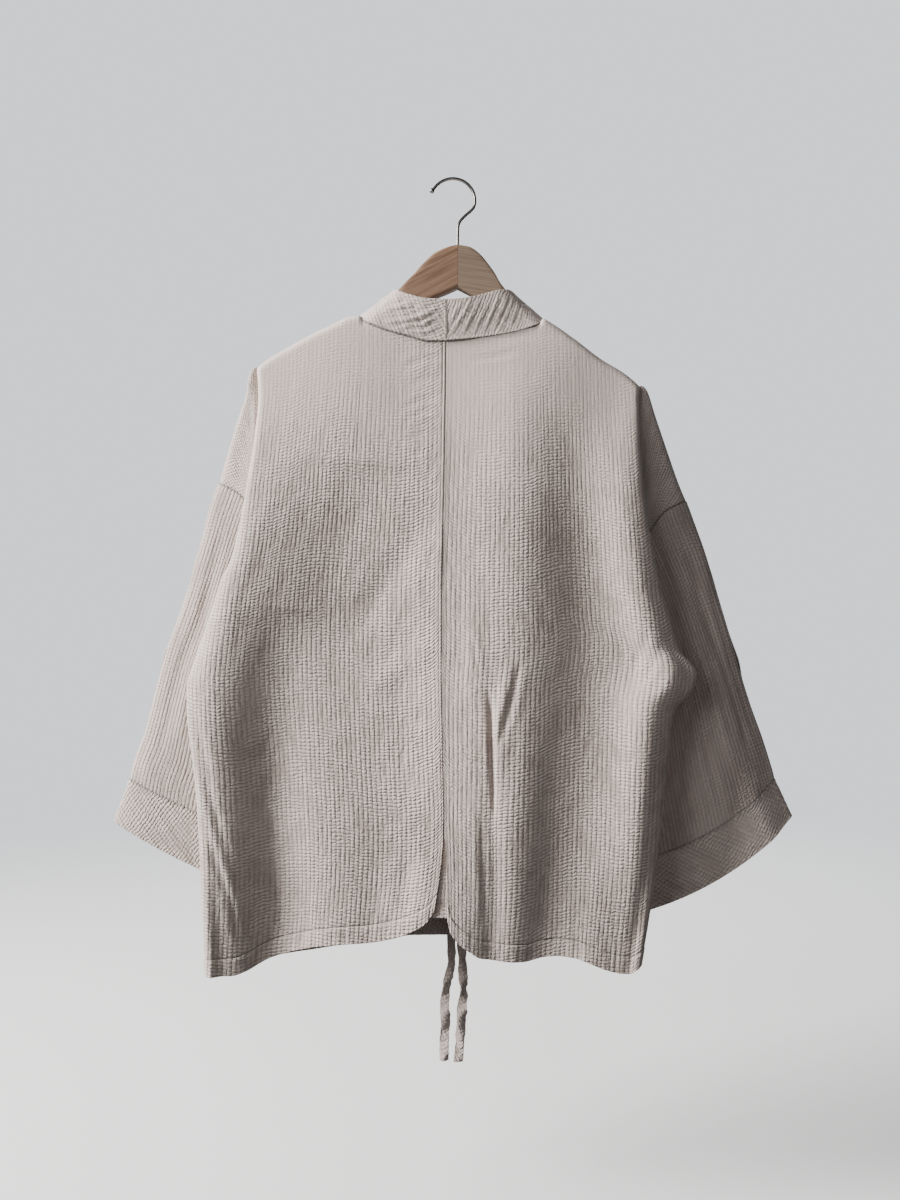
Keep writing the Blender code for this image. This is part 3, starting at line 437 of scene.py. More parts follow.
# Armhole seams from the shoulder's end to the underarm: along, x, y, drop
BACK_ARMHOLE = {
    "left": (
        (0, -268, 12, 338), (0.03, -262, 7, 341), (0.1, -246, 3, 349), (0.2, -231, -1, 364),
        (0.4, -216, -4, 398), (0.6, -208, -5, 432), (0.8, -205.5, -4, 471), (0.92, -207, -3.5, 492),
        (1, -204, -1, 503),
    ),
    "right": (
        (0, 260, 12, 358), (0.03, 254, 7, 361), (0.1, 236, 3, 370), (0.2, 220, -1, 388),
        (0.4, 203, -4, 416), (0.6, 193, -5, 446), (0.8, 188.5, -4, 476), (0.92, 189.5, -3.5, 494),
        (1, 186.5, -1, 505),
    ),
}

# Side seams from the underarm to the hem, turned in behind the fold: along, x, y, drop
SIDE_SEAM = {
    "left": (
        (0, -204, -1, 503), (0.2, -207, -3, 575), (0.45, -210, -1, 668), (0.75, -209, -2, 780),
        (1, -206, -1, 868),
    ),
    "right": (
        (0, 186.5, -1, 505), (0.2, 181, -3, 577), (0.45, 169, -1, 666), (0.75, 155, -2, 776),
        (1, 142, -1, 860),
    ),
}

# Creases that the back panels have kept, on x and drop: half width, height (- for a trough), path
BACK_CREASES = {
    "left": (
        (15, -2, ((-110, 512), (-80, 458), (-52, 408), (-30, 366))),
        (12, 1.3, ((-92, 570), (-66, 546), (-42, 528), (-22, 512))),
        (1.7, -0.8, ((-57, 628), (-59, 642), (-57, 658))),
        (2, -0.9, ((-64, 262), (-44, 252), (-26, 247), (-13, 246))),
        (1.8, -0.8, ((-58, 273), (-38, 264), (-24, 260), (-13, 259))),
        (1.8, -0.9, ((-50, 283), (-34, 276), (-14, 271))),
        (2, -0.8, ((-62, 298), (-40, 287), (-24, 283), (-13, 282))),
        (1.8, -0.7, ((-48, 312), (-32, 305), (-14, 300))),
        (2.4, -0.9, ((-60, 215), (-44, 207), (-28, 203), (-13, 202))),
        (2.2, -0.7, ((-52, 232), (-34, 226), (-13, 224))),
        (4, -1.3, ((-286, 590), (-272, 640), (-262, 690))),
        (3.4, -1.2, ((-280, 640), (-262, 700), (-252, 740))),
        (4, 1.1, ((-272, 690), (-254, 750), (-240, 800))),
        (3.6, -1.2, ((-264, 740), (-244, 800), (-236, 850))),
        (5, -1.4, ((-232, 640), (-214, 700), (-196, 740))),
        (4, -1, ((-216, 730), (-200, 790), (-196, 850))),
        (8, -1.3, ((-60, 820), (-54, 780), (-52, 740))),
    ),
    "right": (
        (3, -3, ((34, 566), (37, 600), (38, 640), (41, 704))),
        (3.4, -2.2, ((68, 536), (61, 570), (53, 600), (46, 632))),
        (2, -1.2, ((17, 508), (20, 526), (22, 545))),
        (1.8, -1, ((14, 554), (26, 567))),
        (3, -1.5, ((26, 700), (27, 745), (29, 790), (30, 818))),
        (4.5, -1, ((222, 516), (214, 538), (205, 560))),
        (4, -0.8, ((228, 536), (219, 556), (207, 572))),
        (4, -0.8, ((208, 500), (200, 528), (192, 552))),
        (5, 1.6, ((52, 560), (48, 610), (50, 660))),
        (9, 1.2, ((16, 470), (20, 530), (14, 590))),
        (2.6, -0.8, ((4, 640), (24, 646), (44, 650))),
        (2.4, -0.8, ((4, 676), (22, 680), (40, 684))),
        (2.4, -0.9, ((14, 206), (40, 203), (70, 196))),
    ),
}
# How the backs swell and sink between their creases, in the same terms
BACK_SWELLS = (
    (36, 3, ((-240, 300), (-252, 460), (-262, 640), (-252, 1000))),
    (64, -14.5, ((-106, 320), (-118, 480), (-122, 700), (-118, 1000))),
    (40, -15, ((-190, 480), (-208, 640), (-208, 760), (-202, 1000))),
    (50, 6.5, ((66, 180), (68, 400), (66, 700), (62, 1000))),
    (28, -2, ((140, 200), (140, 440), (132, 700), (120, 1000))),
    (34, 8.5, ((206, 260), (214, 440), (240, 530), (240, 560), (218, 610), (208, 690), (194, 1000))),
)
# The share of the panel next to its side fold over which these swells die away
SWELLS_END = {"left": 0.3, "right": 0.14}
# Drops between which the centre-back seam gives way to the open vent
VENT_TOP = (716, 728)
SEAM_GROOVE, SEAM_ROUND = 1.3, 2.0
# The felled seam's welt on the left panel, and how far the hems fall back towards the front
WELT_WIDTH, WELT_HEIGHT = 3.2, 0.35
HEM_FALL, HEM_FALL_LENGTH, HEM_FALL_FROM = 8.0, 170.0, (12.0, 90.0)


def route(table, at):
    """Points (x, y, z) on a table of along, x, y, drop."""
    along = column(table, 0)
    x, y, drop = (smooth(along, column(table, n), at) for n in (1, 2, 3))
    return np.stack([x, y, -drop], axis=-1)


def underarm_share(side):
    drops = column(FOLD[side], 0)
    return (UNDERARM_DROP[side] - drops[0]) / (drops[-1] - drops[0])


def fold_line(side, down):
    """The outermost points of a back panel's side fold."""
    drops = column(FOLD[side], 0)
    drop = drops[0] + (drops[-1] - drops[0]) * down
    share = column(DEPTH, 0)
    y = smooth(share, column(DEPTH, 2), down) + smooth(share, column(DEPTH, 3), down)
    return np.stack([smooth(drops, column(FOLD[side], 1), drop), y, -drop], axis=-1)


def broad_folds(side, across, down, width):
    y = 0.0 * across
    for top, hem, start, end, half, depth in BROAD_FOLDS[side]:
        middle = top + (hem - top) * down
        share = np.clip((down - start) / (end - start), 0, 1)
        y = y + depth * np.sin(math.pi * share) * np.exp(-(((across - middle) * width / half) ** 2))
    return y * fade(1 - across, 0.0, 0.06) * fade(across, 0.0, 0.05)


def centre_edge(side, drop):
    """The x of a back panel's centre edge."""
    drops = column(CENTRE, 0)
    apart = smooth(drops, column(CENTRE, 2 if side == "left" else 3), drop)
    return smooth(drops, column(CENTRE, 1), drop) + OUT[side] * apart


def back_main(side, across, down):
    """A back panel from the centre seam (across 0) to its side fold (across 1)."""
    edge = TOP_EDGE[side]
    top_x = edge[0][0] + (edge[-1][0] - edge[0][0]) * across
    top_drop = smooth(column(edge, 0), column(edge, 1), top_x)
    top_y = smooth(column(edge, 0), column(edge, 2), top_x)
    hem = HEM[side]
    hem_x = hem[0][0] + (hem[-1][0] - hem[0][0]) * across
    drop = top_drop + (smooth(column(hem, 0), column(hem, 1), hem_x) - top_drop) * down
    fold = fold_line(side, down)
    middle = centre_edge(side, drop)
    width = np.abs(fold[..., 0] - middle)
    x = middle + (fold[..., 0] - middle) * across
    share = column(DEPTH, 0)
    ends = sorted((edge[0][0], edge[-1][0]))
    near_x = [np.clip(top_x + d, *ends) for d in TOP_EVENED]
    top_about = sum(smooth(column(edge, 0), column(edge, 1), x) for x in near_x) / len(near_x)
    evened = np.clip(down + (top_drop - top_about) / BODY_LENGTH * (1 - down), 0, 1)
    at_centre, at_edge, radius = (smooth(share, column(DEPTH, n), evened) for n in (1, 2, 3))
    body = at_centre + (at_edge - at_centre) * across ** 2 + broad_folds(side, across, down, width)
    over = quarter(drop - top_drop, RIDGE_TURN)
    y = top_y * (1 - over) + body * over
    turned = 1 - quarter((1 - across) * width, radius)
    y = y + (fold[..., 1] - y) * turned * fade(down, -0.02, 0.03)
    return np.stack([x, y, -drop], axis=-1)


def outer_edge(armhole, side, down):
    """The outer edge of a back or front panel: its armhole seam, then the side seam."""
    at = underarm_share(side)
    upper = route(armhole[side], np.clip(down / at, 0, 1))
    lower = route(SIDE_SEAM[side], np.clip((down - at) / (1 - at), 0, 1))
    return np.where((down <= at)[..., None], upper, lower)


def back_wing(side, across, down):
    """The rest of a back panel: turned in behind the fold, out to its outer edge (across 1)."""
    start, end = fold_line(side, down), outer_edge(BACK_ARMHOLE, side, down)
    radius = smooth(column(DEPTH, 0), column(DEPTH, 3), down)[..., None]
    at = underarm_share(side)
    share = np.clip(down / at, 0, 1)[..., None]
    out = np.array([OUT[side], 0.0, 0.0])
    leave = np.array([0.0, 1.0, 0.0]) * radius * FOLD_ROUND + out * radius * FOLD_OUT
    inward = -out * np.maximum(np.abs(end - start)[..., :1], SHORTEST_ARRIVAL) * STRAIGHT
    outward = (end - start) * STRAIGHT
    arrive = outward + (inward - outward) * fade(share, 0.12, 0.42)
    t = across[..., None]
    wing = (
        start * (1 + 2 * t) * (1 - t) ** 2
        + leave * fade(share, 0.0, 0.1) * t * (1 - t) ** 2
        + end * t * t * (3 - 2 * t)
        + arrive * t * t * (t - 1)
    )
    nothing = np.zeros_like(down)
    first_start, first_end = fold_line(side, nothing), outer_edge(BACK_ARMHOLE, side, nothing)
    straight = first_start + (first_end - first_start) * t
    bow = route(SHOULDER_END[side], across) - straight
    swell = quarter(down * BODY_LENGTH, WING_TURN) * WING_SWELL * np.sin(math.pi * across)
    wing = wing + bow * (1 - share) ** 2
    wing[..., 1] -= swell * (1 - share[..., 0]) ** 2
    return wing


def back_panel(side, across, down):
    """A back panel's middle surface, across 0 to 1 to the fold and 1 to 2 behind it."""
    main = back_main(side, np.clip(across, 0, 1), down)
    wing = back_wing(side, np.clip(across - 1, 0, 1), down)
    return np.where((across <= 1)[..., None], main, wing)


def gauze(name, colour, relief=1.5, pucker=0.43, rib_length=24.0):
    """Crinkled double gauze: fine ribs down the cloth, puckers across them, and the threads, with painted
    shade in the crinkle's creases and along seams and stitches.
    """
    made, shader = new_material(name, 0.93)
    shader.inputs["Specular IOR Level"].default_value = 0.12
    shader.inputs["Sheen Weight"].default_value = 0.22
    shader.inputs["Sheen Roughness"].default_value = 0.6
    place = node(made, "UVMap", uv_map="cloth").outputs["UV"]

    def noise(wide, long, move=0.0, detail=0.0):
        inputs = {"Vector": sized(made, place, (wide, long, 1.0), 0.0, move), "Scale": 1.0, "Detail": detail}
        return node(made, "TexNoise", inputs).outputs["Fac"]

    def part_of(value, share, by=1.0):
        return math_node(made, "MULTIPLY", math_node(made, "MULTIPLY", value, share), by)

    def folded(along, pitch, wander, amount, roundness):
        """0 in narrow creases about a pitch apart, 1 on the round crests between them."""
        turns = math_node(made, "MULTIPLY", along, math.pi / (pitch * MM))
        turns = math_node(made, "ADD", turns, part_of(wander, amount * math.pi))
        crest = math_node(made, "ABSOLUTE", math_node(made, "SINE", turns))
        return math_node(made, "POWER", crest, roundness)

    across, down = node(made, "SeparateXYZ", {0: place}).outputs[:2]
    # The second map holds how strong the crinkle is, and the painted shade along seams and stitch rows.
    wear = node(made, "SeparateXYZ", {0: node(made, "UVMap", uv_map="wear").outputs["UV"]}).outputs
    waver = part_of(noise(50.0, 120.0, 0.0, 1.0), 0.7)
    waver = math_node(made, "ADD", waver, part_of(noise(5.0, 8.0, 4.1), 0.17))
    ribs = folded(across, RIB_PITCH, waver, 0.95, 0.7)
    tilted = math_node(made, "ADD", down, part_of(across, 0.22))
    slipped = part_of(noise(26.0, 40.0, 7.7, 1.0), 1.8)
    slipped = math_node(made, "ADD", slipped, part_of(noise(4.4, 8.0, 2.9), 0.8))
    puckers = folded(tilted, PUCKER_PITCH, slipped, 0.95, 0.7)
    strong = ramp(made, noise(7.0, rib_length, 2.2, 1.0), 0.20, 0.80)
    rough = ramp(made, noise(26.0, 34.0, 5.3, 1.0), 0.30, 0.66)
    soft = noise(3.6, 5.0, 6.6, 2.0)
    threads = noise(0.9, 0.9, 1.7, 1.0)
    height = part_of(ribs, 0.42, math_node(made, "ADD", part_of(strong, 0.8), 0.4))
    puckers = part_of(puckers, pucker, math_node(made, "ADD", part_of(rough, 0.8), 0.4))
    height = math_node(made, "ADD", height, puckers)
    height = math_node(made, "ADD", height, part_of(soft, 0.45))
    height = math_node(made, "ADD", height, part_of(threads, 0.06))
    # Painted shade: the colour darkens in the crinkle's creases, more where the crinkle is strong.
    deep = tuple(c * k for c, k in zip(colour, (0.60, 0.57, 0.56)))
    pale = tuple(min(1.0, c * 1.05) for c in colour)
    painted_crease_shade = math_node(made, "SUBTRACT", 1.0, ramp(made, height, 0.40, 1.05))
    tone = mixed(made, part_of(painted_crease_shade, 1.0, wear[0]), colour, deep)
    tone = mixed(made, part_of(ramp(made, noise(70.0, 120.0, 0.7, 3.0), 0.4, 0.7), 0.6), tone, pale)
    # Painted shade: the colour darkens nearly to black along seams and stitch rows.
    tone = mixed(made, part_of(wear[1], 0.8), tone, tuple(c * 0.22 for c in colour))
    made.node_tree.links.new(tone, shader.inputs["Base Color"])
    bumped(made, shader, part_of(height, 1.0, wear[0]), relief)
    return made


def spread(length, step, first, last, extra=()):
    """Shares from 0 to 1, a step apart in the middle and closer at the two ends, with some more."""
    def growing(gap):
        out = [0.0]
        while gap < step:
            out.append(out[-1] + gap)
            gap *= GROWTH
        return np.array(out)
    start, end = growing(first), growing(last)
    middle = np.linspace(start[-1], length - end[-1], max(2, round((length - start[-1] - end[-1]) / step)))
    at = np.concatenate([start[:-1], middle, length - end[-2::-1], [length * e for e in extra]]) / length
    return np.unique(at.round(6))


def uneven(u, v, wide, long, seed):
    """Smooth hills and hollows from -1 to 1 over the cloth, about one for each wide by long millimetres."""
    count = 97
    heights = np.random.default_rng(seed).uniform(-1, 1, (count, count))
    a, b = u / wide, v / long
    i, j = np.floor(a).astype(int), np.floor(b).astype(int)
    s, t = fade(a - i, 0, 1), fade(b - j, 0, 1)
    corner = [[heights[(i + m) % count, (j + n) % count] for n in (0, 1)] for m in (0, 1)]
    near = corner[0][0] + (corner[0][1] - corner[0][0]) * t
    far = corner[1][0] + (corner[1][1] - corner[1][0]) * t
    return near + (far - near) * s


def creased(a, b, creases):
    """How far creases lift the cloth: each a trough or a ridge along a path, with lower swells beside it."""
    lift = np.zeros_like(a)
    for half, height, path in creases:
        path = np.array(path, float)
        long = lengths(path)
        best, share = np.full_like(a, 1e9), np.zeros_like(a)
        for n, (p, q) in enumerate(zip(path, path[1:])):
            step = q - p
            t = np.clip(((a - p[0]) * step[0] + (b - p[1]) * step[1]) / (step @ step), 0, 1)
            away = np.hypot(a - p[0] - t * step[0], b - p[1] - t * step[1])
            nearer = away < best
            share = np.where(nearer, (long[n] + t * (long[n + 1] - long[n])) / long[-1], share)
            best = np.minimum(best, away)
        taper = np.sin(math.pi * np.clip(share, 0, 1)) ** 0.6
        swells = np.exp(-(((best - BESIDE * half) / (BESIDE_WIDTH * half)) ** 2))
        lift += height * (np.exp(-((best / half) ** 2)) - BESIDE_SHARE * swells) * taper
    return lift


def groove(c, distance, depth=SEAM_GROOVE, round_=SEAM_ROUND, share=1.0):
    """An edge turned in at a seam, with painted shade along it."""
    c.shade = np.maximum(c.shade, share * np.exp(-((distance / 1.3) ** 2)))
    return -depth * share * (1 - quarter(distance, round_))


def stitch_line(c, distance, at, depth=0.55, shade=0.7):
    """The cloth drawn in along a row of stitches, with painted shade along the row."""
    row = np.exp(-(((distance - at) / 0.9) ** 2))
    c.shade = np.maximum(c.shade, shade * row)
    return -depth * row


def inside(c):
    """0 along a panel's seams, 1 over the rest of it."""
    return fade(c.u, 1.0, 8.0) * fade(c.u_end, 1.0, 8.0) * fade(c.v, 1.0, 14.0)


def hem_step(c, height):
    """How far a hem's second layer lifts the cloth, from its stitches down."""
    return height * (1 - fade(c.v_end, HEM_DEPTH - 1.5, HEM_DEPTH - 0.5))


def gathered(c, seed, swell=0.5):
    """The cloth's own lie: low swells along it."""
    return uneven(c.u, c.v, 26, 110, seed + 1) * swell * 0.4 + uneven(c.u, c.v, 60, 170, seed + 2) * swell


def lay_cloth(name, surface, across, down, lift, thick, made, facing, nodes, turn=0.0, closed=False,
              follow=0.0, from_hem=False):
    """A piece of cloth: a flat grid laid on a surface, lifted by its creases, then given its thickness."""
    shape = bmesh.new()
    bmesh.ops.create_grid(shape, x_segments=len(across) - 1, y_segments=len(down) - 1, size=0.5)
    mesh = bpy.data.meshes.new(name)
    shape.to_mesh(mesh)
    shape.free()
    at = np.empty(len(mesh.vertices) * 3)
    mesh.vertices.foreach_get("co", at)
    at = at.reshape(-1, 3).round(6)
    order = np.lexsort((at[:, 0], at[:, 1]))
    down_at, across_at = np.meshgrid(down, across, indexing="ij")
    points = surface(across_at, down_at)
    wide = points
    if closed:
        wide = np.concatenate([points[:, -2:-1], points, points[:, 1:2]], axis=1)
    normal = unit(np.cross(np.gradient(wide, axis=1), np.gradient(wide, axis=0))) * facing
    if closed:
        normal = normal[:, 1:-1]
    step_u = np.linalg.norm(np.diff(points, axis=1, prepend=points[:, :1]), axis=-1)
    step_v = np.linalg.norm(np.diff(points, axis=0, prepend=points[:1]), axis=-1)
    u, v = np.cumsum(step_u, axis=1), np.cumsum(step_v, axis=0)
    c = SimpleNamespace(
        u=u, u_end=u[:, -1:] - u, v=v, v_end=v[-1:] - v, across=across_at, down=down_at, points=points,
        crinkle=1.0 + 0 * u, shade=0 * u,
    )
    points = points + lift(c)[..., None] * normal
    co = np.empty_like(at)
    co[order] = points.reshape(-1, 3) * MM
    mesh.vertices.foreach_set("co", co.ravel())
    even = across_at * u[:, -1:].mean() / across[-1]
    u = u + (even - u) * follow
    if from_hem:
        v = -c.v_end
    laid = np.empty((len(at), 2))
    laid[order] = np.stack(rotated(u, v, turn), axis=-1).reshape(-1, 2) * MM
    corner = np.empty(len(mesh.loops), int)
    mesh.loops.foreach_get("vertex_index", corner)
    mesh.uv_layers.new(name="cloth").data.foreach_set("uv", laid[corner].ravel())
    # The second map carries the crinkle's strength and the painted shade that grooves and stitch lines
    # gather.
    laid[order] = np.stack([c.crinkle, c.shade], axis=-1).reshape(-1, 2)
    mesh.uv_layers.new(name="wear").data.foreach_set("uv", laid[corner].ravel())
    if closed:
        shape = bmesh.new()
        shape.from_mesh(mesh)
        bmesh.ops.remove_doubles(shape, verts=shape.verts, dist=1e-5)
        bmesh.ops.recalc_face_normals(shape, faces=shape.faces)
        shape.to_mesh(mesh)
        shape.free()
    thing = clothe(name, mesh, made, "gauze", *nodes)
    wall = thing.modifiers.new("thickness", "SOLIDIFY")
    wall.thickness = thick * MM
    wall.offset = 0.0
    return SimpleNamespace(points=points, normal=normal, u=c.u, v_end=c.v_end, thick=thick)


def neck_share(side):
    edge = TOP_EDGE[side]
    return (NECK_POINT[side] - edge[0][0]) / (edge[-1][0] - edge[0][0])


def back_lift(side):
    def lift(c):
        x, drop = c.points[..., 0], -c.points[..., 2]
        main = c.across <= 1
        flat = inside(c)
        out = gathered(c, SEEDS["back"][side]) * flat * (0.45 + 0.55 * fade(c.down, 0.05, 0.3))
        out += np.where(main, creased(x, drop, BACK_CREASES[side]), 0.0)
        swells = creased(x, drop, BACK_SWELLS) * fade(1 - c.across, 0.0, SWELLS_END[side])
        out += np.where(main, swells, 0.0)
        falling = (1 - fade(c.v_end, 0.0, HEM_FALL_LENGTH)) * fade(c.u, *HEM_FALL_FROM)
        out -= HEM_FALL * falling * np.where(main, fade(1 - c.across, 0.0, 0.08), 0.0)
        above_vent = 1 - fade(drop, *VENT_TOP)
        out += groove(c, c.u, share=above_vent)
        if side == "left":
            welt = WELT_HEIGHT * (1 - fade(c.u, WELT_WIDTH - 0.7, WELT_WIDTH))
            out += (welt + stitch_line(c, c.u, WELT_WIDTH, 0.25, 0.25)) * above_vent
        from_neck = np.abs(c.across - neck_share(side)) * MAIN_WIDTH
        corner = fade(from_neck, 2.0, 14.0)
        # Painted shade on the right panel just below its neck point.
        if side == "right":
            c.shade = 0.55 * np.exp(-((from_neck / 5) ** 2) - (c.v / 7) ** 2)
        at_neck = np.where(c.across < neck_share(side), 1.0, 0.35)
        out += groove(c, c.u_end) + groove(c, c.v, SEAM_GROOVE * corner, SEAM_ROUND, at_neck)
        out += stitch_line(c, c.v_end, HEM_DEPTH) + hem_step(c, 0.45)
        puckered = uneven(c.u, c.v, 2.6, 30, 31) * 0.5
        pulled = 0.20 + 0.80 * fade(c.v, 25, 230) + 0.35 * np.exp(-((c.u / 45) ** 2)) * (side == "left")
        c.crinkle = np.where(main, pulled, np.maximum(pulled, 0.9 * fade(c.across, 1.0, 1.08)))
        return out + puckered * fade(HEM_DEPTH + 6 - c.v_end, 0, 8) * fade(c.u_end, 1.0, 8.0)
    return lift


def body_rows(side, extra=()):
    """Shares of the way down the body, close at the ridge, the underarm and the hem's stitches."""
    hem = [1 - (HEM_DEPTH + d) / BODY_LENGTH for d in (-2.4, -1.2, -0.5, 0.0, 0.5, 1.2, 2.4)]
    return spread(BODY_LENGTH, ROW_STEP, 0.5, 1.0, (*hem, underarm_share(side), *extra))


def main_columns(side):
    welt = [d / MAIN_WIDTH for d in (2.2, 2.7, 3.2, 3.7, 4.4)]
    return spread(MAIN_WIDTH, STEP, 0.3, 0.08, (*welt, neck_share(side)))


oatmeal = gauze("gauze_oatmeal", CLOTH)
backs = {}
for side in SIDES:
    backs[side] = lay_cloth(
        f"gauze_back_{side}", lambda across, down, side=side: back_panel(side, across, down),
        np.concatenate([main_columns(side), 1 + spread(WING_WIDTH, STEP, 0.4, 0.6)[1:]]), body_rows(side),
        back_lift(side), WALL, oatmeal, -OUT[side], [f"back_{side}"],
        follow=0.35, from_hem=True,
    )


# Each front panel is cut from the same gauze. It is sewn to the back along the hanger's ridge, the armhole
# side and the side seam, and to the neckband down its front edge, and has a stitched hem.
FRONT_BULGE, BULGE_LEFT_LOW = 9.0, 0.15
FRONT_WIDTH = 250.0

FRONT_ARMHOLE = {
    "left": (
        (0, -268, 12, 338), (0.03, -266, 17, 342), (0.1, -258, 22, 352), (0.2, -250, 25, 368),
        (0.4, -237, 27, 402), (0.6, -222, 25, 438), (0.8, -207, 16, 474), (0.92, -201, 7.5, 494),
        (1, -204, -1, 503),
    ),
    "right": (
        (0, 260, 12, 358), (0.03, 258, 17, 362), (0.1, 249, 22, 371), (0.2, 239, 25, 386),
        (0.4, 224, 27, 416), (0.6, 206, 25, 446), (0.8, 190, 16, 477), (0.92, 184, 7.5, 496),
        (1, 186.5, -1, 505),
    ),
}

# Front edges, where the neckband is sewn on: share of the way down, x, y, drop
FRONT_EDGE = {
    "left": (
        (0, -108, 0, 153.5), (0.006, -107.5, 8, 158), (0.018, -106, 12, 167), (0.1, -95, 13, 222),
        (0.2, -82, 13, 292), (0.35, -66, 13, 396), (0.53, -54, 13, 520), (0.7, -50, 13, 640),
        (1, -50, 13, 850),
    ),
    "right": (
        (0, 97, 0, 156.5), (0.006, 96.5, 8, 161), (0.018, 95, 12, 170), (0.1, 88, 13, 222),
        (0.2, 77, 13, 296), (0.35, 63, 13, 400), (0.53, 53, 13, 520), (0.7, 50, 13, 640), (1, 50, 13, 857),
    ),
}

# Creases on the fronts, out from the front edge and down from the shoulder
FRONT_CREASES = {
    "left": (
        (8, -2.6, ((18, 60), (40, 150), (66, 240))),
        (6, 2, ((40, 70), (62, 170), (84, 260))),
        (4, -1.8, ((70, 330), (86, 420), (80, 520))),
        (3, -1.4, ((36, 400), (44, 470), (38, 540))),
        (5, -1.8, ((110, 420), (118, 520), (112, 620))),
        (3, -1.2, ((20, 240), (48, 252), (70, 272))),
        (3, 1.2, ((96, 180), (110, 260), (128, 330))),
    ),
    "right": (
        (7, -2.4, ((16, 80), (36, 170), (58, 250))),
        (6, 1.8, ((44, 60), (60, 150), (80, 240))),
        (4, -1.8, ((60, 350), (72, 440), (64, 540))),
        (3, -1.3, ((30, 300), (36, 380), (28, 450))),
        (5, -1.7, ((96, 400), (90, 500), (98, 600))),
        (3, -1.1, ((24, 560), (46, 548), (66, 560))),
    ),
}


def front_panel(side, across, down):
    """A front panel's middle surface, from its front edge (0) to its outer edge, numbered as the back's."""
    neck = neck_share(side)
    first = np.zeros_like(down)
    ridge = back_panel(side, across, first)
    fine = np.linspace(neck, 2.0, 200)
    line = back_panel(side, fine, np.zeros(200))
    long = lengths(line)
    t = (np.interp(across, fine, long) / long[-1])[..., None]
    start, end = route(FRONT_EDGE[side], down), outer_edge(FRONT_ARMHOLE, side, down)
    flat = start + (end - start) * t
    first_start, first_end = route(FRONT_EDGE[side], first), outer_edge(FRONT_ARMHOLE, side, first)
    flat_first = first_start + (first_end - first_start) * t
    at = underarm_share(side)
    panel = flat + (ridge - flat_first) * (1 - np.clip(down / at, 0, 1)[..., None]) ** 2
    less = 1 - (1 - BULGE_LEFT_LOW) * fade(down, 0.1, 0.6)
    bulge = np.sin(math.pi * t[..., 0]) * quarter(down * BODY_LENGTH, RIDGE_TURN) * less
    panel[..., 1] += FRONT_BULGE * bulge
    return panel


def front_lift(side):
    def lift(c):
        flat = inside(c)
        out = gathered(c, SEEDS["front"][side]) * flat + creased(c.u, c.v, FRONT_CREASES[side]) * flat
        corner = fade(np.hypot(c.u, c.v), 2.0, 14.0)
        out += groove(c, c.u, share=corner) + groove(c, c.u_end) + groove(c, c.v, share=0.35 * corner)
        return out + stitch_line(c, c.v_end, HEM_DEPTH) + hem_step(c, 0.4)
    return lift


fronts = {}
for side in SIDES:
    neck = neck_share(side)
    outward = neck + (2 - neck) * spread(FRONT_WIDTH, 3.0, 0.5, 0.6)
    fronts[side] = lay_cloth(
        f"gauze_front_{side}", lambda across, down, side=side: front_panel(side, across, down), outward,
        body_rows(side), front_lift(side), WALL, oatmeal, OUT[side], [f"front_{side}"],
        from_hem=True,
    )


# Each sleeve is one wide piece folded along its top, closed by a seam at its lower inner edge and set into
# the dropped armhole. It hangs nearly flat, and starts behind the body where the side folds over it.
CLEAR = 0.6
UNDERARM_CLEAR = 1.0
LAYER = 3.0
SLEEVE_HALF = 11.0
SLEEVE_LENGTH, HALF_GIRTH = 330.0, 225.0
OUTER_SWELL = {"left": 1.0, "right": 10.0}
INNER_SWELL = {"left": 8.0, "right": 0.0}
TUBE_POWER = 2.6

# The sleeves' outer and inner edges, from the armhole to the cuff's seam: along, x, y, drop
SLEEVE_OUTER = {
    "left": (
        (0, -268, 12, 338), (0.08, -277.5, 15, 362), (0.2, -288.5, 18, 402), (0.4, -307.5, 20, 470),
        (0.58, -326, 20, 523), (0.7, -339.5, 20, 568), (0.86, -354.5, 20, 621), (0.96, -367, 20, 655),
        (1, -371.5, 20, 674),
    ),
    "right": (
        (0, 260, 12, 358), (0.08, 268, 15, 378), (0.2, 281.5, 18, 413), (0.4, 299.5, 20, 471.5),
        (0.6, 317.5, 20, 531), (0.78, 335, 20, 589), (0.9, 351, 20, 634.5), (1, 363, 20, 674),
    ),
}

SLEEVE_INNER = {
    "left": (
        (0, -204, -1, 503), (0.1, -214, 4, 530), (0.25, -226, 12, 571), (0.5, -227, 20, 638),
        (0.75, -193, 20, 702), (0.93, -168, 20, 739), (1, -165, 20, 750),
    ),
    "right": (
        (0, 186.5, -1, 505), (0.1, 197, 4, 531), (0.25, 211, 12, 572), (0.5, 215, 20, 641),
        (0.75, 199, 20, 708), (1, 170, 20, 774),
    ),
}

CUFF_SAG = {"left": 7.0, "right": 17.0}

# Creases along the sleeves, round from the top fold and down from the armhole
SLEEVE_CREASES = {
    "left": (
        (8, -1.4, ((22, 10), (30, 120), (26, 240), (34, 330))),
        (6, 1.1, ((44, 30), (50, 150), (46, 280))),
        (4, -0.7, ((10, 60), (14, 160), (9, 250))),
        (6, -0.9, ((100, 90), (108, 200), (102, 320))),
        (6, -2.6, ((300, 80), (316, 190), (330, 310))),
        (6, 2.4, ((350, 60), (362, 180), (372, 300))),
        (5, -2.2, ((410, 40), (420, 160), (428, 300))),
    ),
    "right": (
        (6, -2.6, ((24, 20), (30, 130), (26, 250), (36, 330))),
        (5, 2, ((46, 60), (54, 180), (50, 300))),
        (4, -2, ((72, 80), (84, 190), (78, 320))),
        (3, -1.4, ((12, 90), (16, 190), (12, 280))),
        (5, -1.8, ((112, 150), (120, 240), (114, 330))),
        (6, -2.6, ((300, 60), (312, 180), (324, 300))),
        (6, 2.4, ((352, 80), (366, 200), (378, 310))),
        (5, -2, ((412, 60), (420, 170), (430, 290))),
    ),
}


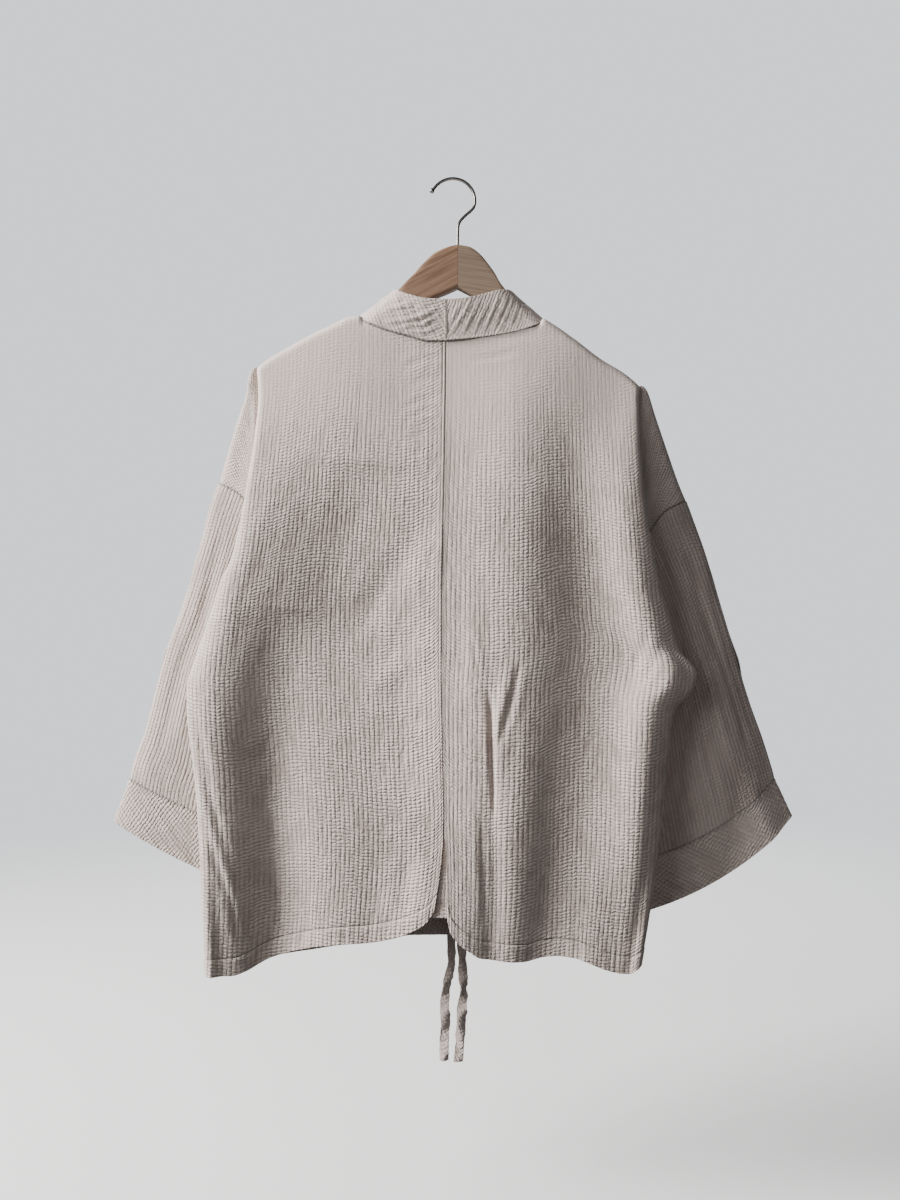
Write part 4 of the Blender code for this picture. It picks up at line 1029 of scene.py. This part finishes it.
def tube(outer, inner, round_, half):
    """Points round a flattened tube between two edges."""
    share = np.where(round_ <= 1, round_, 2 - round_)
    swell = (1 - np.abs(2 * share - 1) ** TUBE_POWER) ** (1 / TUBE_POWER)
    points = outer + (inner - outer) * share[..., None]
    points[..., 1] -= half * swell * np.where(round_ <= 1, 1.0, -1.0)
    return points


def sag(side, round_):
    return CUFF_SAG[side] * np.abs(np.sin(math.pi * round_))


def sleeve(side, round_, along):
    """A sleeve's middle surface: round_ 0 at the upper fold, the back to 1 at the inner fold, the front to 2.
    It starts at the armhole's seams, behind the body where the body folds over it."""
    on_back = round_ <= 1
    away = np.where(on_back, round_, 2 - round_)
    outer, inner = route(SLEEVE_OUTER[side], along), route(SLEEVE_INNER[side], along)
    points = tube(outer, inner, round_, SLEEVE_HALF * fade(along, 0.0, np.where(on_back, 0.5, 0.3)))
    first = np.zeros_like(along)
    chord = tube(route(SLEEVE_OUTER[side], first), route(SLEEVE_INNER[side], first), round_, first)
    back = route(BACK_ARMHOLE[side], np.clip(round_, 0, 1))
    front = route(FRONT_ARMHOLE[side], np.clip(2 - round_, 0, 1))
    tip = fade(away, 0.8, 1.0)
    layered = np.where(on_back, fade(away, 0.06, 0.25) + tip * 0.5, tip * 1.5)
    seam = np.where(on_back[..., None], back, front)
    off = OUT[side] * (CLEAR + UNDERARM_CLEAR * tip)
    seam = seam + np.stack([off, LAYER * layered, 0.0 * away], axis=-1)
    points = points + (seam - chord) * ((1 - along) ** 2)[..., None]
    points[..., 2] -= sag(side, round_) * along**2
    return points


def swollen(side, c):
    """How far the back of a sleeve or cuff stands out, more towards its outer or its inner fold."""
    outer = fade(c.across, 0.02, 0.16) * (1 - fade(c.across, 0.2, 0.95))
    inner = fade(c.across, 0.02, 0.84) * (1 - fade(c.across, 0.86, 0.99))
    return OUTER_SWELL[side] * outer + INNER_SWELL[side] * inner


def sleeve_lift(side):
    def lift(c):
        flat = fade(c.v, 1.0, 12.0) * fade(c.v_end, 1.0, 10.0)
        free = fade(c.down, 0.08, 0.35)
        out = gathered(c, SEEDS["sleeve"][side], 0.8) * flat
        out += creased(c.u, c.v, SLEEVE_CREASES[side]) * flat * (0.35 + 0.65 * free)
        out += swollen(side, c) * fade(c.down, 0.25, 0.8) / (0.4 + 0.6 * free)
        return out * (0.4 + 0.6 * free) + groove(c, c.v) + groove(c, c.v_end)
    return lift


def round_columns(length):
    """Shares round a sleeve, close together at its two folds."""
    half = spread(length, STEP, 0.35, 0.35)
    return np.concatenate([half, 1 + half[1:]])


sleeve_gauze = gauze("gauze_oatmeal_sleeves", CLOTH, relief=1.6, pucker=0.24, rib_length=60.0)
for side in SIDES:
    lay_cloth(
        f"gauze_sleeve_{side}", lambda across, down, side=side: sleeve(side, across, down),
        round_columns(HALF_GIRTH), spread(SLEEVE_LENGTH, ROW_STEP, 0.6, 0.6), sleeve_lift(side), WALL,
        sleeve_gauze, OUT[side], [f"sleeve_{side}_back", f"sleeve_{side}_front"], closed=True,
    )


# Each cuff is a doubled band of the gauze, cut on a slant so that its crinkle runs askew, and sewn round the
# sleeve's end. It flares a little and its lower edge sags.
CUFF_WALL = 2.2
CUFF_DEPTH = 55.0
CUFF_FLARE = 1.5
CUFF_TURN = {"left": -62.0, "right": 38.0}

# The cuffs' outer and inner edges, from the sleeve's end: along, x, y, drop
CUFF_OUTER = {
    "left": (
        (0, -371.5, 20, 674), (0.5, -381, 20, 700), (1, -389, 20, 722),
    ),
    "right": (
        (0, 363, 20, 674), (0.5, 373, 20, 695), (1, 382.5, 20, 716),
    ),
}

CUFF_INNER = {
    "left": (
        (0, -165, 20, 750), (0.5, -174, 20, 781), (1, -184, 20, 810),
    ),
    "right": (
        (0, 170, 20, 774), (0.5, 174, 20, 803), (1, 179, 20, 833),
    ),
}


def cuff(side, round_, along):
    outer, inner = route(CUFF_OUTER[side], along), route(CUFF_INNER[side], along)
    points = tube(outer, inner, round_, SLEEVE_HALF + CUFF_FLARE * along)
    points[..., 2] -= sag(side, round_)
    return points


def askew(c, turn, wide, long, seed):
    """Ribs that cross the piece at an angle."""
    return uneven(*rotated(c.u, c.v, math.radians(turn)), wide, long, seed)


def cuff_lift(side):
    def lift(c):
        ribs = askew(c, CUFF_TURN[side], 4.6, 60, 81) * 0.6 + uneven(c.u, c.v, 40, 60, 83) * 0.9
        out = ribs * fade(c.v, 0.5, 5.0) * fade(c.v_end, 0.2, 3.0) + groove(c, c.v, 1.1, 1.8)
        return out + swollen(side, c)
    return lift


for side in SIDES:
    lay_cloth(
        f"gauze_cuff_{side}", lambda across, down, side=side: cuff(side, across, down),
        round_columns(HALF_GIRTH), spread(CUFF_DEPTH, 3.0, 0.5, 0.6), cuff_lift(side), CUFF_WALL,
        oatmeal, OUT[side], [f"cuff_{side}"], turn=math.radians(CUFF_TURN[side]), closed=True,
    )


# The neckband is a doubled strip cut on the bias, in two lengths joined at the centre back. It stands at the
# back neck, turns over the hanger and runs down both front edges. Its crinkle is drawn into slanting pleats.
BAND_WALL = 2.2
BAND_HEIGHT, BAND_TO_SHOULDER = 46.0, 105.0
BAND_GROOVE = {"left": 0.9, "right": 1.3}
BAND_TURN = {"left": 62.0, "right": 35.0}

# The neckband's free edge round the back neck, by share of the way to the shoulder: along, x, y, drop
NECKBAND_BACK = {
    "left": (
        (0, -11.1, -15.5, 138.4), (0.2, -31, -15.5, 137.4), (0.36, -44, -14.5, 135),
        (0.5, -54.6, -13, 131.5), (0.68, -62, -11, 128.5), (0.86, -67.5, -6.5, 125.6), (1, -69.5, 0, 124),
    ),
    "right": (
        (0, -11.1, -15.5, 138.4), (0.2, 8, -15.5, 137), (0.36, 22, -14.5, 134), (0.5, 34, -13, 130.5),
        (0.68, 47, -11.5, 126.8), (0.86, 57.5, -7, 124.6), (1, 62.7, 0, 124),
    ),
}

# and down the fronts, by share of the way down
NECKBAND_FRONT = {
    "left": (
        (0, -69.5, 0, 124), (0.006, -69.5, 6, 126.5), (0.018, -68, 11, 134), (0.1, -52, 14.5, 205),
        (0.2, -38, 15, 280), (0.35, -21, 15, 388), (0.53, -8, 15, 514), (0.7, -4, 15, 638),
        (1, -4, 15, 850),
    ),
    "right": (
        (0, 62.7, 0, 124), (0.006, 62.5, 6, 126.5), (0.018, 61, 11, 134), (0.1, 47, 14.5, 205),
        (0.2, 34, 15, 282), (0.35, 19, 15, 388), (0.53, 8, 15, 514), (0.7, 4, 15, 638), (1, 4, 15, 857),
    ),
}

# Deep creases at the back of the neck, up from the seam and out from the centre
BAND_CREASES = {
    "left": (
        (1.8, -1.9, ((8, 70), (13, 56), (20, 38), (30, 22), (37, 8))),
        (1.6, -1.5, ((5, 54), (12, 42), (17, 28), (24, 16))),
        (1.5, -1.3, ((4, 44), (8, 30), (12, 18), (18, 6))),
        (1.6, -1.5, ((20, 72), (26, 60), (32, 44), (39, 34))),
        (1.4, 1, ((12, 66), (17, 50), (25, 34), (34, 18))),
        (1.5, -1.2, ((26, 86), (34, 76), (43, 68))),
        (1.5, -1.2, ((16, 92), (24, 84), (40, 78))),
        (1.3, -1, ((12, 30), (22, 20), (30, 6))),
        (1.3, -1, ((30, 52), (38, 42), (44, 30))),
    ),
    "right": (
        (1.3, -0.9, ((18, 3), (30, 10), (42, 17))),
        (1.4, -1.3, ((6, 4), (16, 11), (28, 19), (42, 28))),
        (1.2, -0.9, ((5, 11), (16, 17), (28, 24), (40, 32))),
        (1.5, -1.4, ((4, 17), (14, 22), (26, 29), (42, 38))),
        (1.2, -1, ((4, 23), (16, 29), (30, 37), (43, 45))),
        (1.5, -1.3, ((4, 29), (16, 35), (30, 43), (43, 50))),
        (1.2, -0.9, ((6, 35), (18, 41), (32, 48), (42, 54))),
        (1.5, -1.4, ((4, 40), (16, 46), (30, 53), (43, 60))),
        (1.2, -1, ((4, 46), (14, 51), (28, 58), (40, 64))),
        (1.4, -1.3, ((4, 51), (16, 57), (28, 63), (42, 70))),
        (1.4, -1.2, ((3, 58), (14, 64), (26, 70), (40, 78))),
        (1.2, -0.9, ((3, 63), (14, 69), (26, 75), (38, 81))),
        (1.4, -1.1, ((3, 69), (14, 74), (26, 80), (38, 86))),
        (1.3, -1, ((3, 76), (12, 81), (22, 86), (34, 92))),
        (1.2, -0.8, ((3, 83), (12, 88), (22, 92), (30, 97))),
    ),
}


def band(side, across, along):
    """The neckband, across from its seam to its free edge, and along from the centre back (0) over the
    shoulder (1) to the hem (2)."""
    behind, down = np.clip(along, 0, 1), np.clip(along - 1, 0, 1)
    neck = neck_share(side)
    seam_back = back_panel(side, neck * behind, 0 * behind)
    seam_front = front_panel(side, neck + 0 * down, down)
    at_back = (along <= 1)[..., None]
    seam = np.where(at_back, seam_back, seam_front)
    free = np.where(at_back, route(NECKBAND_BACK[side], behind), route(NECKBAND_FRONT[side], down))
    return seam + (free - seam) * across[..., None]


def band_lift(side):
    def lift(c):
        ribs = askew(c, BAND_TURN[side] * OUT[side], 3.4, 42, 91) * 0.4 + uneven(c.u, c.v, 25, 50, 93) * 0.5
        out = (ribs + creased(c.u, c.v, BAND_CREASES[side])) * fade(c.u, 0.5, 4.0) * fade(c.u_end, 0.6, 7.0)
        out *= 1 - 0.6 * fade(c.v, 70, 95) * (1 - fade(c.v, 130, 180))
        c.crinkle = 0.55 + 0.35 * fade(c.v, 110, 170)
        shoulder = c.v[np.abs(c.down[:, 0] - 1).argmin()]
        corner = fade(np.abs(c.v - shoulder), 2.0, 14.0)
        proud = 0.3 + (1.0 * fade(c.v, 6, 50) * (1 - fade(c.v, 85, 110)) if side == "right" else 0.0)
        seam = groove(c, c.u, BAND_GROOVE[side] * corner, 1.8) + groove(c, c.v, 0.5, 0.9, 0.45)
        return out * fade(c.v, 0.3, 2.0) + seam + proud * (1 - fade(c.v, 95, 120))
    return lift


for side in SIDES:
    shoulder = spread(BAND_TO_SHOULDER, 2.4, 0.5, 1.2)
    below = 1 + spread(BODY_LENGTH + 50, 3.4, 0.6, 0.8)[1:]
    lay_cloth(
        f"gauze_neckband_{side}", lambda across, along, side=side: band(side, across, along),
        spread(BAND_HEIGHT, 2.0, 0.4, 0.4), np.concatenate([shoulder, below]), band_lift(side), BAND_WALL,
        oatmeal, OUT[side], [f"neckband_{side}"],
        turn=math.radians(BAND_TURN[side] * OUT[side]),
    )


# The vent's underlap is a narrow strip of the gauze, hemmed at its foot, that hangs behind the open end of
# the centre seam so that the vent shows no gap.
VENT_STRIP = ((700.0, -25.0, -2.0), (813.0, -29.0, -6.0))
VENT_WIDTH, VENT_LENGTH = 23.0, 113.0
# The wall of the backs in the source, and how far the underlap lies behind it
SOLID_WALL = 1.6
VENT_GAP = 0.8
VENT_HEM = 15.0


def vent_surface(across, down):
    (top, top_left, top_right), (foot, foot_left, foot_right) = VENT_STRIP
    drop = top + (foot - top) * down
    left = top_left + (foot_left - top_left) * down
    right = top_right + (foot_right - top_right) * down
    start, end = TOP_EDGE["left"][0][1], HEM["left"][0][1]
    x = left + (right - left) * across
    y = smooth(column(DEPTH, 0), column(DEPTH, 1), (drop - start) / (end - start)) + SOLID_WALL + VENT_GAP
    return np.stack([x, y - creased(x, drop, BACK_SWELLS), -drop], axis=-1)


def vent_lift(c):
    row = stitch_line(c, c.v_end, VENT_HEM, 0.5)
    return uneven(c.u, c.v, 4, 30, 97) * 0.3 + row + 0.2 * uneven(c.u, c.v, 9, 18, 98)


vent = lay_cloth(
    "gauze_vent_underlap", vent_surface, spread(VENT_WIDTH, 1.5, 0.5, 0.5),
    spread(VENT_LENGTH, 2.0, 0.6, 0.6), vent_lift, WALL, oatmeal, -1.0,
    ["vent_strip"],
)


# The two ties are narrow folded strips of the gauze, sewn to the front edges inside. They hang down below
# the hem, a little twisted.
TIE_WIDTH, TIE_LENGTH = 10.0, 355.0
TIE_WALL = 1.8

# The ties, from their sewn ends down: drop, x, turn about the length in degrees
TIES = {
    "left": (
        (640, -9, 0), (700, -8.5, 4), (780, -7, -6), (850, -5.5, 8), (880, -5, 40), (897, -7.5, -10),
        (912, -11, 35), (930, -12.4, -30), (952, -12, 20), (975, -13.6, -22), (994, -13.5, 12),
    ),
    "right": (
        (640, 9, 0), (700, 8.5, -4), (780, 8, 6), (862, 6.6, -12), (880, 7.2, 38), (898, 8.4, -14),
        (914, 9, 58), (930, 7.6, -24), (950, 6, 26), (974, 4.6, -26), (996, 2.8, 10),
    ),
}
TIE_Y = 17.6
TIE_CURL = 2.2


def tie(side, across, down):
    """A tie's middle surface, twisting and curling along its length."""
    table = TIES[side]
    seed = SEEDS["tie"][side]
    drops = table[0][0] + (table[-1][0] - table[0][0]) * down
    x = smooth(column(table, 0), column(table, 1), drops)
    turn = np.radians(smooth(column(table, 0), column(table, 2), drops))
    width = TIE_WIDTH * (1 + 0.10 * uneven(drops, 0 * drops, 9.0, 1.0, seed))
    s, free = across - 0.5, fade(drops, 860, 890)
    curl = TIE_CURL * (0.5 + 0.8 * uneven(drops, 0 * drops, 15.0, 1.0, seed + 1)) * free * (1 - 4 * s * s)
    s = s * width
    x, y = x + s * np.cos(turn) - curl * np.sin(turn), TIE_Y + s * np.sin(turn) - curl
    return np.stack([x, y, -drops], axis=-1)


def tie_lift(c):
    c.crinkle = 0.8 + 0 * c.u
    lumps = 0.9 * uneven(c.u, c.v, 6, 5, 107) + 0.7 * uneven(c.u, c.v, 14, 11, 109)
    return (askew(c, 34.0, 2.8, 16, 105) * 0.5 + lumps) * fade(-c.points[..., 2], 850, 890)


for side in SIDES:
    lay_cloth(
        f"gauze_tie_{side}", lambda across, down, side=side: tie(side, across, down),
        spread(TIE_WIDTH, 1.2, 0.4, 0.4), spread(TIE_LENGTH, 2.0, 0.6, 0.6), tie_lift, TIE_WALL, oatmeal,
        -1.0, [f"tie_{side}"], turn=math.radians(72.0),
    )


# The hems, the felled centre seam and the underlap's foot are machine-stitched in oatmeal cotton thread,
# 3.6 mm to a stitch. Each stitch is a short thread that dips into the cloth at both ends.
THREAD = 0.45
STITCH, STITCH_GAP, FIRST_STITCH = 2.5, 1.1, 2.0
THREAD_COLOUR = (0.52, 0.44, 0.385)
# The stitched part of a hem, as shares of its length, and of the centre seam, as drops
HEM_STITCHED, SEAM_STITCHED = (0.01, 0.99), (186.0, 706.0)


def thread_material():
    made, shader = new_material("cotton_thread", 0.85)
    shader.inputs["Sheen Weight"].default_value = 0.15
    place = node(made, "TexCoord").outputs["Object"]
    twist = figure(made, place, (0.7, 0.7, 0.7))
    dark = tuple(c * 0.7 for c in THREAD_COLOUR)
    colour = mixed(made, ramp(made, twist, 0.35, 0.65), dark, THREAD_COLOUR)
    made.node_tree.links.new(colour, shader.inputs["Base Color"])
    bumped(made, shader, twist, 0.05)
    return made


def row_across(cloth, length, first=0.0, last=1.0):
    """Points and normals of the row of a cloth's grid that lies a length above its foot."""
    at = np.abs(cloth.v_end.mean(axis=1) - length).argmin()
    wide = cloth.points.shape[1]
    span = slice(int(first * wide), int(last * wide))
    return cloth.points[at, span], cloth.normal[at, span], cloth.thick


def row_down(cloth, length, top, foot):
    """Points and normals of the column that lies a length in from a cloth's first edge, between two drops."""
    at = np.abs(cloth.u.mean(axis=0) - length).argmin()
    drops = -cloth.points[:, at, 2]
    span = (drops > top) & (drops < foot)
    return cloth.points[span, at], cloth.normal[span, at], cloth.thick


def between(long, values, at):
    """A vector at a length along a line, between the line's own."""
    return np.array([np.interp(at, long, values[:, n]) for n in range(3)])


def sew(name, rows, proud):
    """Stitches along rows of points, standing a little proud of the cloth's face."""
    whole = bmesh.new()
    for points, normal, thick in rows:
        long = lengths(points)
        for start in np.arange(FIRST_STITCH, long[-1] - STITCH, STITCH + STITCH_GAP):
            ends = [between(long, points, at) for at in (start, start + STITCH)]
            middle, along = (ends[0] + ends[1]) / 2, unit(ends[1] - ends[0])
            out = unit(between(long, normal, start))
            beside = np.cross(along, out)
            for vert in bmesh.ops.create_icosphere(whole, subdivisions=1, radius=1.0)["verts"]:
                a, b, d = vert.co
                lift = d * THREAD / 2 + thick / 2 + proud
                place = middle + along * a * STITCH / 2 + beside * b * THREAD / 2 + out * lift
                vert.co = place * MM
    mesh = bpy.data.meshes.new(name)
    whole.to_mesh(mesh)
    whole.free()
    clothe(name, mesh, cotton_thread, None)


cotton_thread = thread_material()
sew("stitches_hem_back", [row_across(backs[side], HEM_DEPTH, *HEM_STITCHED) for side in SIDES], -0.1)
sew("stitches_hem_front", [row_across(fronts[side], HEM_DEPTH, *HEM_STITCHED) for side in SIDES], -0.1)
sew("stitches_centre_seam", [row_down(backs["left"], WELT_WIDTH, *SEAM_STITCHED)], -0.05)
sew("stitches_vent_hem", [row_across(vent, VENT_HEM, 0.08, 0.92)], -0.1)


# The floor is a pale round that fades out, under soft light from a large window at the left. From here on
# lengths are metres.
FLOOR_DROP, FLOOR_RADIUS, FLOOR_FADE = 1.16, 3.5, (1.25, 2.6)
# What the lights point at, and the place of the photo's camera, square to the jacket's back
MIDDLE = (0.0, 0.0, -0.5)
PHOTO_FROM = (-0.00672, -1.05, -0.4704)


def floor_material():
    made, shader = new_material("pale_floor", 0.85)
    shader.inputs["Base Color"].default_value = (0.74, 0.75, 0.75, 1.0)
    place = node(made, "TexCoord").outputs["Object"]
    away = node(made, "VectorMath", {0: place}, operation="LENGTH").outputs["Value"]
    clear = node(made, "BsdfTransparent").outputs[0]
    mix = node(made, "MixShader", {0: ramp(made, away, *FLOOR_FADE), 1: shader.outputs[0], 2: clear})
    out = made.node_tree.nodes["Material Output"]
    made.node_tree.links.new(mix.outputs[0], out.inputs["Surface"])
    return made


floor_shape = bmesh.new()
bmesh.ops.create_circle(floor_shape, cap_ends=True, segments=96, radius=FLOOR_RADIUS)
bmesh.ops.translate(floor_shape, verts=floor_shape.verts, vec=(0.0, 0.0, -FLOOR_DROP))
floor_mesh = bpy.data.meshes.new("pale_floor")
floor_shape.to_mesh(floor_mesh)
floor_shape.free()
floor_mesh.materials.append(floor_material())
floor = bpy.data.objects.new("pale_floor", floor_mesh)
bpy.context.collection.objects.link(floor)
floor.visible_diffuse = False

world = bpy.data.worlds.new("pale_room")
bpy.context.scene.world = world
world.use_nodes = True
room = world.node_tree
room.nodes["Background"].inputs["Color"].default_value = (0.78, 0.80, 0.83, 1.0)
seen = room.nodes.new("ShaderNodeLightPath").outputs["Is Camera Ray"]
strength = room.nodes.new("ShaderNodeMapRange")
strength.inputs["To Min"].default_value = 0.10
strength.inputs["To Max"].default_value = 1.5
room.links.new(seen, strength.inputs["Value"])
room.links.new(strength.outputs["Result"], room.nodes["Background"].inputs["Strength"])


def soft_light(name, place, size, power, colour):
    lamp = bpy.data.lights.new(name, "AREA")
    lamp.shape = "RECTANGLE"
    lamp.size, lamp.size_y = size
    lamp.energy = power
    lamp.color = colour
    thing = bpy.data.objects.new(name, lamp)
    thing.location = place
    thing.rotation_euler = (Vector(MIDDLE) - Vector(place)).to_track_quat("-Z", "Y").to_euler()
    bpy.context.collection.objects.link(thing)


soft_light("window", (-3.3, -0.83, 1.1), (1.3, 2.1), 560.0, (1.0, 0.985, 0.965))
soft_light("window_side", (-2.2, -2.1, 0.9), (1.4, 1.6), 30.0, (1.0, 0.985, 0.965))
soft_light("room", (0.5, -2.8, 0.3), (2.0, 2.0), 8.0, (0.97, 0.98, 1.0))
soft_light("front_side", (1.2, 2.2, 0.4), (1.6, 1.6), 70.0, (1.0, 0.99, 0.98))

view = bpy.data.cameras.new("photo_view")
view.sensor_width = 36.0
view.lens = 28.125
view.clip_start = 0.01
camera = bpy.data.objects.new("photo_view", view)
camera.location = PHOTO_FROM
camera.rotation_euler = (math.pi / 2, 0.0, 0.0)
bpy.context.collection.objects.link(camera)
bpy.context.scene.camera = camera
